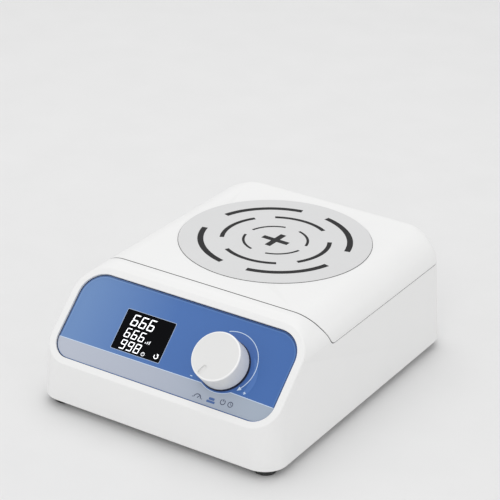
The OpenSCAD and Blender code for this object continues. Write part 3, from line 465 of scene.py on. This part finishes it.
def case_form(t, name):
    """The case's outer form for t = 0, or the form t inside it, down to the panel bed's underside."""
    points = []
    rounding = 0 if t else BASE_EDGE
    rims = [(BASE_Z + BASE_EDGE * (1 - math.cos(a)), t + rounding * (1 - math.sin(a)))
            for a in (0, math.radians(45), math.radians(90))]
    if t:
        rims.insert(0, (BASE_Z - 2, t))
    for sx in (-1, 1):
        for sy in (-1, 1):
            for z, inset in rims:
                centre = (sx * (CASE_W / 2 - CORNER_R), sy * (CASE_D / 2 - CORNER_R), z)
                points += ring_points(Matrix.Translation(centre), CORNER_R - inset)
    rear = CASE_D / 2 - lean(TOP_Z - REAR_EDGE_R)
    for degrees in range(0, 91, 5):
        a = math.radians(degrees)
        back = CORNER_R * (1 - math.sin(a))
        over = max(0.0, REAR_EDGE_R - back)
        drop = REAR_EDGE_R - math.sqrt(REAR_EDGE_R ** 2 - over ** 2)
        points += shoulder_points(rear - back - t, CORNER_R * (1 - math.cos(a)), drop, t)
    for ahead, side_in, top_in in ROLL_OVER:
        points += shoulder_points(SEAM_Y - ahead + t / 2, side_in, top_in, t)
    if t:
        layers = [(-FILM_T - BED_T, 0.0)]
    else:
        edge_steps = [math.radians(15 * k) for k in range(7)]
        layers = [(BEZEL_RISE * math.sin(a), BEZEL_EDGE * (1 - math.cos(a))) for a in edge_steps]
    w = PANEL_HALF_W + BEZEL_W - t
    for height, inset in layers:
        for sx in (-1, 1):
            for r, s in ((PANEL_R_LOW, PANEL_LOW), (PANEL_R_TOP, PANEL_HIGH)):
                full = r + BEZEL_W - t
                centre_s = s + r if s < 0 else s - r
                place = PANEL @ Matrix.Translation((sx * (w - full), centre_s, height))
                points += ring_points(place, full - inset)
    return convex(points, name)


def cover_zone(shrink):
    """The room behind the slanting seam that the cover takes, as a prism across the case."""
    seam_z = TOP_Z - SEAM_DROP
    knee_y = SEAM_Y + math.tan(SEAM_SLANT) * SEAM_DROP
    turn = math.pi / 2 - SEAM_SLANT
    arc_y = knee_y + SEAM_BEND_R * math.tan(turn / 2) + shrink
    arc_z = seam_z + SEAM_BEND_R
    r = SEAM_BEND_R - shrink
    angles = [turn * k / 16 for k in range(17)]
    bend = [(arc_y - r * math.sin(a), arc_z - r * math.cos(a)) for a in angles]
    rise = 2 * SHOULDER_R
    top = (bend[-1][0] - math.tan(SEAM_SLANT) * rise, bend[-1][1] + rise)
    outline = [(CASE_D, seam_z + shrink), *bend, top, (CASE_D, top[1])]
    # Turns the prism's own X, Y and Z to Y, Z and X
    across = Matrix(((0, 0, 1, 0), (1, 0, 0, 0), (0, 1, 0, 0), (0, 0, 0, 1)))
    return prism(outline, -CASE_W, CASE_W, "zone", across)


def rod(r, low, high, place, steps=40):
    """A plain round cutter."""
    return lathe([(0, low), (r, low), (r, high), (0, high)], "rod", place, steps)


def post(place, low, high, r, depth):
    """A round post with a blind pilot hole of a given depth in its lower end."""
    profile = [(0, low + depth), (PILOT_R, low + depth), (PILOT_R, low), (r, low), (r, high), (0, high)]
    return lathe(profile, "post", place, 40)


def lug(side, y):
    """A flat lug on a side wall, with a round end and a hole for a screw."""
    outline = arc(0, 0, POST_R, 90, 270, 16) + [(LUG_REACH, -POST_R), (LUG_REACH, POST_R)]
    if side < 0:
        outline = [(-px, py) for px, py in reversed(outline)]
    place = Matrix.Translation((side * LUG_X, y, 0))
    return boolean(prism(outline, LUG_Z, LUG_Z + LUG_T, "lug", place),
                   [rod(CLEAR_R, LUG_Z - 1, LUG_Z + LUG_T + 1, place)], "DIFFERENCE", "lug")


def housing_fittings():
    """Posts for the base plate and the control board, and the lugs for the cover's screws."""
    fittings = [post(Matrix.Translation((sx * SCREW_X, sy * SCREW_Y, 0)),
                     BASE_POST_LOW, BASE_POST_HIGH, POST_R, BASE_PILOT)
                for sx in (-1, 1) for sy in (-1, 1)]
    bed_low = -FILM_T - BED_T
    for sx in (-1, 1):
        for s in BOARD_HOLE_S:
            place = PANEL @ Matrix.Translation((sx * BOARD_HOLE_X, s, 0))
            fittings.append(post(place, BOARD_TOP, bed_low + WELD, BOARD_POST_R, BOARD_PILOT))
    return fittings + [lug(sx, y) for sx in (-1, 1) for y in LUG_YS]


def inlet_shapes():
    """The pad inside the rear wall, and the pocket and the hole that the mains inlet sits in."""
    turn = Matrix.Translation((INLET_X, 0, FLANGE_Z)) @ Matrix.Rotation(math.radians(-90), 4, "X")
    pad = soft_rect(FLANGE_W + 8, FLANGE_H + 6, 1.5)
    pocket = soft_rect(FLANGE_W + 2 * FLANGE_GAP, FLANGE_H + 2 * FLANGE_GAP, 2.0)
    mouth = soft_rect(INLET_W, INLET_H, 0.5, 0, FLANGE_Z - INLET_Z)
    return (prism(pad, POCKET_Y - PAD_T, POCKET_Y + PAD_REACH, "pad", turn),
            prism(pocket, POCKET_Y, POCKET_Y + CUT_REACH, "pocket", turn),
            prism(mouth, POCKET_Y - 12, POCKET_Y + CUT_REACH, "mouth", turn))


def panel_openings(reach):
    """Cutters for the display's window and the encoder's bushing, from below the panel to above it."""
    window = soft_rect(DISPLAY_W + 2 * WINDOW_GAP, DISPLAY_H + 2 * WINDOW_GAP, 1, DISPLAY_X, DISPLAY_S)
    return [prism(window, -reach, reach, "window", PANEL), rod(BUSH_R, -reach, reach, KNOB, 48)]


def build_shells():
    """Meshes of the lower housing, the top cover and the dark strip of painted shade in the seam between
    them.
    """
    outer = case_form(0.0, "outer")
    inner = case_form(WALL, "inner")
    pad, pocket, mouth = inlet_shapes()
    recess = prism(panel_outline(), -FILM_T, CUT_REACH, "recess", PANEL)
    lower = boolean(outer.copy(), [inner, cover_zone(-SEAM_GAP / 2)], "DIFFERENCE", "lower")
    lower = boolean(lower, [pad, *housing_fittings()], "UNION", "lower")
    lower = boolean(lower, [recess, *panel_openings(12), pocket, mouth], "DIFFERENCE", "lower")

    ceiling = TOP_Z - WALL
    cover_posts = [post(Matrix.Translation((sx * LUG_X, y, 0)),
                        LUG_Z + LUG_T, ceiling + WELD, POST_R, COVER_PILOT)
                   for sx in (-1, 1) for y in LUG_YS]
    seat = rod(PLATE_R + SEAT_GAP, PLATE_LOW, TOP_Z + CUT_REACH, SPIN, 192)
    cover = boolean(outer, [cover_zone(SEAM_GAP / 2)], "INTERSECT", "cover")
    cover = boolean(cover, [inner], "DIFFERENCE", "cover")
    cover = boolean(cover, cover_posts, "UNION", "cover")
    cover = boolean(cover, [seat], "DIFFERENCE", "cover")

    skin = boolean(case_form(SHADE_STRIP_DROP, "skin"), [cover_zone(-SEAM_GAP / 2)], "INTERSECT", "skin")
    hollow = [case_form(WALL, "hollow"), cover_zone(SEAM_GAP / 2)]
    return lower, cover, boolean(skin, hollow, "DIFFERENCE", "gap_shade")


lower_mesh, cover_mesh, seam_shade_mesh = build_shells()
for shell in (lower_mesh, cover_mesh, seam_shade_mesh):
    shell.materials.clear()
lower_housing = smooth(add_object("housing_shell", lower_mesh, mat["case"]), 28, 0.3)
top_cover = smooth(add_object("cover_shell", cover_mesh, mat["cover"]), 28, 0.25)
for piece, node in ((lower_housing, "lower_housing"), (top_cover, "top_cover")):
    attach(piece, "case")
    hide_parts(node)
# A dark strip sunk in the seam stands in for the shade in the narrow gap: painted shade
seam_gap_shade = add_object("seam_gap_shade", seam_shade_mesh, mat["gap_shade"])
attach(seam_gap_shade, "case")

# ------------------------------------------------------------------ pieces and printed marks


def finish_piece(obj, body, slot, *nodes):
    """Sets what the piece rides on and hides the CAD nodes that it stands for; the finish slot is not
    used.
    """
    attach(obj, body)
    if nodes:
        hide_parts(*nodes)


def join(name, meshes, material):
    """Joins meshes, still in millimetres, into one object."""
    bm = bmesh.new()
    for mesh in meshes:
        bm.from_mesh(mesh)
        bpy.data.meshes.remove(mesh)
    mesh = bpy.data.meshes.new(name)
    bm.to_mesh(mesh)
    bm.free()
    return add_object(name, mesh, material)


# Thicknesses of printed marks: a thicker one shows over a thinner one
THIN_T, MID_T, PRINT_T = 0.02, 0.03, 0.05


def marks(name, outlines, place, material, slot, low=0.0, thick=PRINT_T):
    """Printed marks, and strips of painted shade and painted highlight: a thin slab for each outline, on
    the plane of a placing matrix.
    """
    slabs = [prism(outline, low, low + thick, name, place) for outline in outlines]
    finish_piece(join(name, slabs, mat[material]), "case", slot)


def band(cx, cy, r, width, start, end, steps=48):
    """Outline of a stretch of ring, angles in degrees."""
    return arc(cx, cy, r + width / 2, start, end, steps) + arc(cx, cy, r - width / 2, end, start, steps)


def stroke(x0, y0, x1, y1, width):
    """Outline of a straight stroke between two points."""
    dx, dy = x1 - x0, y1 - y0
    n = math.hypot(dx, dy)
    ox, oy = -dy / n * width / 2, dx / n * width / 2
    return [(x0 - ox, y0 - oy), (x1 - ox, y1 - oy), (x1 + ox, y1 + oy), (x0 + ox, y0 + oy)]


# ------------------------------------------------------------------ platform

plate_foot = PLATE_TOP - PLATE_T
plate = lathe([(0, plate_foot), (PLATE_R - 0.3, plate_foot), (PLATE_R, plate_foot + 0.3),
               (PLATE_R, PLATE_TOP - 0.35), (PLATE_R - 0.1, PLATE_TOP - 0.17),
               (PLATE_R - 0.3, PLATE_TOP - PRINT_T), (0, PLATE_TOP - PRINT_T)], "plate", SPIN, 192)
disc = add_object("platform_disc", plate, mat["platform"])
# The platform's upright side takes a dark material: painted shade on the side wall
plate.materials.append(mat["plate_side_shade"])
for polygon in plate.polygons:
    polygon.material_index = 1 if abs(polygon.normal.z) < 0.2 else 0
finish_piece(smooth(disc, 40), "case", "platform_grey", "platform_plate")

# Dark ring in the gap round the platform: painted shade for the gap
gap_shade_in, gap_shade_out = PLATE_R + 0.02, PLATE_R + SEAT_GAP - 0.02
gap_shade_low, gap_shade_high = PLATE_LOW + 0.05, PLATE_LOW + 1.05
plate_gap_shade = lathe([(gap_shade_in, gap_shade_low), (gap_shade_out, gap_shade_low), (gap_shade_out, gap_shade_high),
                    (gap_shade_in, gap_shade_high), (gap_shade_in, gap_shade_low)], "plate_gap_shade", SPIN, 192)
finish_piece(add_object("platform_gap_shade", plate_gap_shade, mat["gap_shade"]), "case", "part_black")

# Cross and broken rings that show where to put the flask. Each ring of four arcs has its radius,
# width, half span, first arc's middle, how far its arcs stand off the square, and its centre.
TARGET_RINGS = [(52.0, 4.2, 32.0, 45.0, 1.6, (0.0, 0.0)),
                (37.5, 3.15, 32.0, 0.0, -1.75, (0.57, -0.3)),
                (22.4, 1.85, 32.0, 45.0, -1.75, (0.8, -0.8))]
TARGET_TURN = -1.5
CROSS_X, CROSS_Y, CROSS_LEN, CROSS_W = 0.84, -0.93, 20.8, 4.4


def target_outlines():
    """The cross, and the four arcs of each ring."""
    far, near = CROSS_LEN / 2, CROSS_W / 2
    arm = [(near, near), (near, far), (-near, far)]
    quarter_turns = [(1, 0), (0, 1), (-1, 0), (0, -1)]
    cross = [(CROSS_X + x * c - y * s, CROSS_Y + x * s + y * c) for c, s in quarter_turns for x, y in arm]
    outlines = [cross]
    for r, width, span, first, stagger, centre in TARGET_RINGS:
        for k in range(4):
            middle = first + 90 * k + stagger * (-1) ** k
            outlines.append(band(*centre, r, width, middle - span, middle + span))
    return outlines


marks("target_marks", target_outlines(), SPIN @ Matrix.Rotation(math.radians(TARGET_TURN), 4, "Z"),
      "target", "window_black", low=PLATE_TOP - PRINT_T)

# ------------------------------------------------------------------ control panel

FILM_BEVEL = 0.55
film = prism(panel_outline(-FILM_GAP), -FILM_T, 0, "film", PANEL, FILM_BEVEL)
film = boolean(film, panel_openings(5), "DIFFERENCE", "film")
film.materials.clear()
finish_piece(smooth(add_object("panel_film_blue", film, mat["film"]), 25), "case",
             "film_blue", "panel_film")


def frame_outlines(outer, inner):
    """The strip between two outlines with as many points each, cut into quadrilaterals."""
    return [[outer[k - 1], outer[k], inner[k], inner[k - 1]] for k in range(len(outer))]


# Dark navy strip in the gap round the film: painted shade along the recess wall
film_gap_shade = frame_outlines(panel_outline(-0.03), panel_outline(-FILM_GAP + 0.02))
marks("film_gap_shade", film_gap_shade, PANEL, "navy_shade", "part_black", low=-FILM_T, thick=FILM_T - 0.1)

STRIP_INSET = 0.9                 # from the panel's outline to the silver strip
FIELD_R = DIAL_R - 0.1            # blue field round the knob


def strip_top(inset=STRIP_INSET):
    """Upper edge of the silver strip, right to left, with the dip round the dial."""
    reach = math.degrees(math.asin(DIAL_S / FIELD_R))
    edge = PANEL_HALF_W - inset
    return [(edge, 0)] + arc(DIAL_X, DIAL_S, FIELD_R, -reach + 4, -180 + reach - 4, 24) + [(-edge, 0)]


def strip_outline():
    """The silver strip below the blue: the film's lower end up to the colour change."""
    r, low = PANEL_R_LOW - STRIP_INSET, PANEL_LOW + STRIP_INSET
    edge = PANEL_HALF_W - STRIP_INSET
    reach = math.degrees(math.acos((r + low) / r))
    left = arc(-edge + r, low + r, r, 180 + 90 - reach, 270, 24)
    right = arc(edge - r, low + r, r, 270, 270 + reach, 24)
    return left + right + [p for p in strip_top() if abs(p[0]) < edge - 0.01]


marks("panel_strip_silver", [strip_outline()], PANEL, "silver", "film_blue")
STRIP_LINE_W = 0.38
top_line = strip_top(1.4)
lower_line = [(x, y - STRIP_LINE_W) for x, y in reversed(top_line)]
marks("panel_strip_line", [top_line + lower_line], PANEL, "print_light", "film_blue",
      low=PRINT_T, thick=THIN_T)

# Arc round the knob that ends in an arrow, with a plus on one side and a minus on the other
ARC_START, ARC_END, ARC_W = 112.0, -39.0, 0.5
end_x = DIAL_X + DIAL_R * math.cos(math.radians(ARC_END))
end_y = DIAL_S + DIAL_R * math.sin(math.radians(ARC_END))
ARROW_W, ARROW_L = 1.3, 3.0
heading = math.radians(ARC_END - 90)
ahead, aside = (math.cos(heading), math.sin(heading)), (-math.sin(heading), math.cos(heading))
arrow = [(end_x + ahead[0] * ARROW_L, end_y + ahead[1] * ARROW_L),
         (end_x + aside[0] * ARROW_W, end_y + aside[1] * ARROW_W),
         (end_x - aside[0] * ARROW_W, end_y - aside[1] * ARROW_W)]
plus = [stroke(*ends, ARC_W) for ends in ((60, 3, 62, 3), (61, 2, 61, 2.74), (61, 3.26, 61, 4))]
minus = stroke(19.7, 2.7, 21.3, 2.7, ARC_W)
dial_arc = band(DIAL_X, DIAL_S, DIAL_R, ARC_W, ARC_END, ARC_START, 72)
marks("dial_marks", [dial_arc, arrow, *plus, minus], PANEL, "print_light", "film_blue", low=THIN_T)

# A dark and a light line just inside the film's edge, round the blue part: painted shade from the recess
# wall and a painted highlight on the film's bevelled edge
LINE_FOOT = 0.4                   # where the lines end, above the silver strip
for line_name, line_color, inset, line_w in (("film_edge_painted_shade", "edge_painted_shade", 0.95, 0.5),
                                             ("film_edge_painted_highlight", "edge_painted_highlight", 1.45, 1.0)):
    line_out = [p for p in panel_outline(-inset) if p[1] > LINE_FOOT]
    line_in = [p for p in panel_outline(-inset - line_w) if p[1] > LINE_FOOT]
    shared = min(len(line_out), len(line_in))
    line = line_out[-shared:] + line_in[-shared:][::-1]
    marks(line_name, [line], PANEL, line_color, "film_blue", thick=THIN_T)

# Dark ring in the gap below the knob: painted shadow of the knob on the film
SHADOW_RING_R, SHADOW_RING_W, SHADOW_RING_T = 15.2, 5.2, 0.2
shadow_ring_halves = [band(0, 0, SHADOW_RING_R, SHADOW_RING_W, start, start + 180) for start in (0, 180)]
marks("knob_shadow_ring", shadow_ring_halves, KNOB, "navy_shade", "part_black", low=MID_T, thick=SHADOW_RING_T)

# Blue field round the knob, and the brighter crescent that sweeps past the arc's lower end
dial_disc = prism(arc(DIAL_X, DIAL_S, FIELD_R, 0, 355, 71), 0.0, THIN_T, "dial_field", PANEL)
dial_disc = boolean(dial_disc, [rod(BUSH_R, -1, 1, KNOB, 48)], "DIFFERENCE", "dial_field")
dial_disc.materials.clear()
finish_piece(add_object("dial_field", dial_disc, mat["dial"]), "case", "film_blue")
swoosh = arc(46.9, 12.0, 18.1, -33.4, 56.0, 32) + arc(34.4, 12.4, 26.9, 32.0, -23.0, 32)
marks("dial_crescent", [swoosh], PANEL, "swoosh", "film_blue", thick=MID_T)


def icons():
    """Small signs in place of words: a speed gauge, a pressed button, and power with a clock."""
    gauge = [band(31, -9.6, 2.5, 0.6, 0, 180, 20), stroke(31, -9.6, 32.3, -7.9, 0.6)]
    gauge += [stroke(27.6 + 6.8 * k, -9.3, 27.6 + 6.8 * k, -9.8, 0.7) for k in range(2)]
    power = [band(49.5, -7.0, 1.7, 0.55, -240, 60, 24), stroke(49.5, -6.6, 49.5, -4.9, 0.55)]
    clock = [band(55.2, -7.0, 1.7, 0.5, 0, 358, 28), stroke(55.2, -7.0, 55.2, -5.8, 0.4),
             stroke(55.4, -7.2, 56.3, -7.2, 0.4)]
    return gauge + power + clock


marks("panel_icons", icons(), PANEL, "print_dark", "film_blue", low=PRINT_T, thick=THIN_T)
button = [stroke(38.2, -9.4, 44.4, -9.4, 1.5), soft_rect(4.2, 1.7, 0.4, 41.3, -7.4, 3)]
marks("button_icon", button, PANEL, "print_blue", "film_blue", low=PRINT_T, thick=THIN_T)

# ------------------------------------------------------------------ display

GLASS_DROP, GLASS_BACK = 0.12, 2.0   # front and back of the glass, below the film's face
glass = prism(soft_rect(DISPLAY_W, DISPLAY_H, 0.8, DISPLAY_X, DISPLAY_S), -GLASS_BACK, -GLASS_DROP,
              "glass", PANEL, 0.15)
finish_piece(smooth(add_object("display_glass", glass, mat["glass"]), 25), "case",
             "window_black", "display_window")
border = frame_outlines(soft_rect(DISPLAY_W + 0.8, DISPLAY_H + 0.8, 1.0, DISPLAY_X, DISPLAY_S),
                        soft_rect(DISPLAY_W + 0.2, DISPLAY_H + 0.2, 0.9, DISPLAY_X, DISPLAY_S))
marks("display_border", border, PANEL, "border", "film_blue", thick=MID_T)

SEGMENTS = {"6": "acdefg", "9": "abcdfg", "8": "abcdefg"}
SLANT = 0.14                      # how far the digits lean to the right for each step up


def digit(char, x, s, w, h, t):
    """The lit segments of one slanting seven-segment digit, its lower left corner at (x, s)."""
    g = t * 0.3
    m = h / 2
    places = {
        "a": [(g, h), (w - g, h), (w - t - g / 2, h - t), (t + g / 2, h - t)],
        "d": [(g, 0), (t + g / 2, t), (w - t - g / 2, t), (w - g, 0)],
        "g": [(t * 0.6, m), (t * 1.1, m + t / 2), (w - t * 1.1, m + t / 2), (w - t * 0.6, m),
              (w - t * 1.1, m - t / 2), (t * 1.1, m - t / 2)],
        "f": [(0, h - g), (t, h - t - g), (t, m + t / 2 + g / 2), (t * 0.5, m + g), (0, m + g * 1.2)],
        "e": [(0, g), (t, t + g), (t, m - t / 2 - g / 2), (t * 0.5, m - g), (0, m - g * 1.2)],
        "b": [(w, h - g), (w, m + g * 1.2), (w - t * 0.5, m + g), (w - t, m + t / 2 + g / 2),
              (w - t, h - t - g)],
        "c": [(w, g), (w - t, t + g), (w - t, m - t / 2 - g / 2), (w - t * 0.5, m - g),
              (w, m - g * 1.2)],
    }
    return [[(x + px + py * SLANT, s + py) for px, py in places[key]] for key in SEGMENTS[char]]


# Rows of digits: characters, left end, foot, width, height, pitch, segment width
ROWS = [("666", -38.4, 21.9, 4.9, 8.1, 6.5, 0.76), ("666", -39.3, 13.2, 4.1, 6.7, 5.7, 0.62),
        ("998", -39.0, 4.8, 4.1, 6.7, 5.7, 0.62)]
lit = [segment for text, x, s, w, h, pitch, t in ROWS for k, char in enumerate(text)
       for segment in digit(char, x + k * pitch, s, w, h, t)]
# A turning arrow at the lower right, and small signs in place of the units
lit += [band(-9.7, 7.2, 1.45, 0.5, -215, 50, 24), [(-9.5, 9.2), (-9.2, 7.6), (-8.0, 8.8)]]
marks("display_digits", lit, PANEL, "lit", "module_dark", low=-GLASS_DROP, thick=MID_T)
units = [stroke(-21.6 + 1.5 * k, 13.2, -21.2 + 1.5 * k, 13.2 + 1.0 + 0.7 * k, 0.7) for k in range(3)]
units += [band(-19.6, 5.9, 1.2, 0.45, 0, 356, 20), stroke(-19.6, 5.9, -19.6, 6.7, 0.35)]
marks("display_units", units, PANEL, "lit_dim", "module_dark", low=-GLASS_DROP, thick=MID_T)

# ------------------------------------------------------------------ knob

KNOB_BACK, KNOB_FRONT = KNOB_GAP, KNOB_GAP + KNOB_LEN
EDGE_R = 0.95
SKIRT_T, SKIRT_DEPTH = 2.6, 8.0   # wall round the hollow in the knob's back, and the hollow's depth
HUB_R, HUB_BACK = 5.6, 4.2        # hub that grips the shaft
BORE_R, BORE_TOP = 3.0, 12.0
edge = [(KNOB_FACE_R - EDGE_R + EDGE_R * math.sin(math.radians(a)),
         KNOB_FRONT - EDGE_R + EDGE_R * math.cos(math.radians(a))) for a in range(0, 91, 15)]
body_profile = [(0, KNOB_FRONT - 0.35), (KNOB_FACE_R * 0.55, KNOB_FRONT - 0.2),
                (KNOB_FACE_R - 1.7, KNOB_FRONT), *edge,
                (KNOB_R, KNOB_BACK + 0.8), (KNOB_R - 0.12, KNOB_BACK + 0.3), (KNOB_R - 0.5, KNOB_BACK),
                (KNOB_R - 2.2, KNOB_BACK), (KNOB_R - SKIRT_T, KNOB_BACK + SKIRT_DEPTH),
                (HUB_R, KNOB_BACK + SKIRT_DEPTH), (HUB_R, HUB_BACK), (BORE_R, HUB_BACK),
                (BORE_R, BORE_TOP), (0, BORE_TOP)]
POINTER_TURN, POINTER_W, POINTER_START, POINTER_END = -113.0, 3.4, 8.3, 15.6
POINTER_DEPTH = 1.0
knob_mesh = lathe(body_profile, "knob", KNOB, 144)
slot_outline = (arc(POINTER_START + POINTER_W / 2, 0, POINTER_W / 2, 90, 270, 12)
                + arc(POINTER_END - POINTER_W / 2, 0, POINTER_W / 2, -90, 90, 12))
pointer = prism(slot_outline, KNOB_FRONT - POINTER_DEPTH, KNOB_FRONT + 5, "pointer",
                KNOB @ Matrix.Rotation(math.radians(POINTER_TURN), 4, "Z"))
knob_mesh = boolean(knob_mesh, [pointer], "DIFFERENCE", "knob")
knob_mesh.materials.clear()
knob = add_object("knob_turned", knob_mesh, mat["knob"])
# The rim's faces take a glossier material whose lighter colour is a painted highlight
knob_mesh.materials.append(mat["knob_rim_highlight"])
to_knob = KNOB.inverted()
for polygon in knob_mesh.polygons:
    spot = to_knob @ (polygon.center / MM)
    on_rim_highlight = spot.z > KNOB_FRONT - EDGE_R and math.hypot(spot.x, spot.y) > KNOB_FACE_R - EDGE_R
    polygon.material_index = 1 if on_rim_highlight else 0
finish_piece(smooth(knob, 30, 0.12), "knob", "knob_white", "speed_knob", "knob_cap")

# ------------------------------------------------------------------ feet

FOOT_HOLE_R = 1.6
SINK_R, SINK_TOP = 4.0, 3.0       # recess for the screw's head
FOOT_PROFILE = [(FOOT_HOLE_R, SINK_TOP), (SINK_R, SINK_TOP), (SINK_R, 0.3), (SINK_R + 0.3, 0),
                (FOOT_R - 3, 0), (FOOT_R - 2.2, 0.25), (FOOT_R - 1.6, 0.9), (FOOT_R - 1.0, 2.1),
                (FOOT_R - 0.5, 3.4), (FOOT_R - 0.12, 4.6), (FOOT_R, 5.2),
                (FOOT_R, BASE_Z - 0.2), (FOOT_R - 0.2, BASE_Z), (FOOT_HOLE_R, BASE_Z)]
feet = [lathe(FOOT_PROFILE, "foot", Matrix.Translation((sx * FOOT_X, sy * FOOT_Y, 0)), 64)
        for sx in (-1, 1) for sy in (-1, 1)]
finish_piece(smooth(join("feet_rubber", feet, mat["rubber"]), 35), "case", "rubber_black", "rubber_feet")

# ------------------------------------------------------------------ CAD nodes that stay

NODE_FINISH = {
    "base": ["base_plate"],
    "screw": ["foot_screws", "base_screws", "cover_screws", "control_board_screws", "bracket_screws",
              "motor_screws", "driver_board_screws", "inlet_screws", "holder_set_screw"],
    "adhesive": ["platform_adhesive"],
    "black": ["display_module", "buzzer", "motor_end_bell", "speed_disc", "speed_sensor", "heat_sink",
              "power_inlet", "fuse_drawer"],
    "board": ["control_board", "driver_board"],
    "chip": ["control_chips", "power_chips"],
    "steel": ["encoder_body", "motor_bracket", "motor_housing"],
    "nickel": ["encoder_nut", "drive_magnets"],
    "ivory": ["encoder_plunger", "board_connectors"],
    "machined": ["encoder_shaft", "motor_shaft", "shaft_clip", "magnet_holder", "upper_bearing",
                 "lower_bearing"],
    "lamination": ["stator_core", "motor_rotor"],
    "copper": ["stator_coils"],
    "brass": ["bracket_posts", "driver_standoffs"],
    "rubber": ["vibration_grommets"],
    "tape": ["transformer"],
    "can": ["capacitors"],
    "ribbon": ["ribbon_cable"],
    "wire": ["motor_cable", "mains_wires"],
    "contact": ["inlet_pins"],
    "fuse": ["fuses"],
}
# Widths in millimetres of the round edges
EDGE_SIZE = {"base": 0.25, "screw": 0.12, "black": 0.3, "steel": 0.3, "nickel": 0.15, "ivory": 0.25,
             "machined": 0.2, "lamination": 0.2, "copper": 0.6, "brass": 0.2, "tape": 0.8, "can": 0.6,
             "contact": 0.2, "fuse": 0.3, "chip": 0.2}

for finish, nodes in NODE_FINISH.items():
    for node in nodes:
        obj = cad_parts[node]
        if not obj.material_slots:
            obj.data.materials.append(mat[finish])
        for material_slot in obj.material_slots:
            material_slot.material = mat[finish]
        smooth(obj, 30, EDGE_SIZE.get(finish, 0.0))

# ------------------------------------------------------------------ camera, light and floor

AZIMUTH, ELEVATION, ROLL = math.radians(31.71), math.radians(25.48), math.radians(1.65)
DISTANCE = 1330.5                 # from the camera to the aim point
AIM = Vector((-12.905, 19.192, 82.0))
LENS, SENSOR = 137.9, 36.0

back = Vector((math.sin(AZIMUTH) * math.cos(ELEVATION), -math.cos(AZIMUTH) * math.cos(ELEVATION),
               math.sin(ELEVATION)))
right = Vector((math.cos(AZIMUTH), math.sin(AZIMUTH), 0))
up = back.cross(right)
right, up = (right * math.cos(ROLL) + up * math.sin(ROLL), up * math.cos(ROLL) - right * math.sin(ROLL))
camera_data = bpy.data.cameras.new("camera")
camera_data.lens = LENS
camera_data.sensor_width = SENSOR
camera = bpy.data.objects.new("camera", camera_data)
bpy.context.scene.collection.objects.link(camera)
turn = Matrix((right, up, back)).transposed().to_4x4()
camera.matrix_world = Matrix.Translation((AIM + back * DISTANCE) * MM) @ turn
bpy.context.scene.camera = camera


# Round lamps, in metres and watts: place, width and power
LAMPS = {
    "overhead": ((-0.35, 0.45, 1.4), 1.2, 3.5),
    "front_left": ((-1.1, -1.5, 0.6), 1.2, 1.6),
    "front_top": ((0.5, -1.3, 1.4), 0.8, 4.0),
    "right": ((1.6, 0.1, 0.7), 1.2, 1.0),
}
LIT_POINT = Vector((0, 0, 0.05))
WORLD_STRENGTH = 0.80
FLOOR_HALF = 4.0                  # metres

for lamp_name, (place, size, power) in LAMPS.items():
    lamp = bpy.data.lights.new(lamp_name, "AREA")
    lamp.shape = "DISK"
    lamp.size = size
    lamp.energy = power
    light = bpy.data.objects.new(lamp_name, lamp)
    bpy.context.scene.collection.objects.link(light)
    light.location = place
    light.rotation_euler = (LIT_POINT - Vector(place)).to_track_quat("-Z", "Y").to_euler()

world = bpy.data.worlds.new("studio")
world.use_nodes = True
background = world.node_tree.nodes["Background"]
background.inputs["Color"].default_value = (1.0, 1.0, 1.0, 1)
background.inputs["Strength"].default_value = WORLD_STRENGTH
bpy.context.scene.world = world
bpy.context.scene.view_settings.view_transform = "Standard"

floor_mesh = bpy.data.meshes.new("floor")
floor_corners = [(x * FLOOR_HALF, y * FLOOR_HALF, 0) for x, y in ((-1, -1), (1, -1), (1, 1), (-1, 1))]
floor_mesh.from_pydata(floor_corners, [], [(0, 1, 2, 3)])
floor = bpy.data.objects.new("floor", floor_mesh)
bpy.context.scene.collection.objects.link(floor)
floor_paint = surface("floor_paint", (0.8, 0.8, 0.8), 0.7, grain=40, grain_mm=0.1, mottle=0.01)
floor_mesh.materials.append(floor_paint)

bpy.context.view_layer.update()
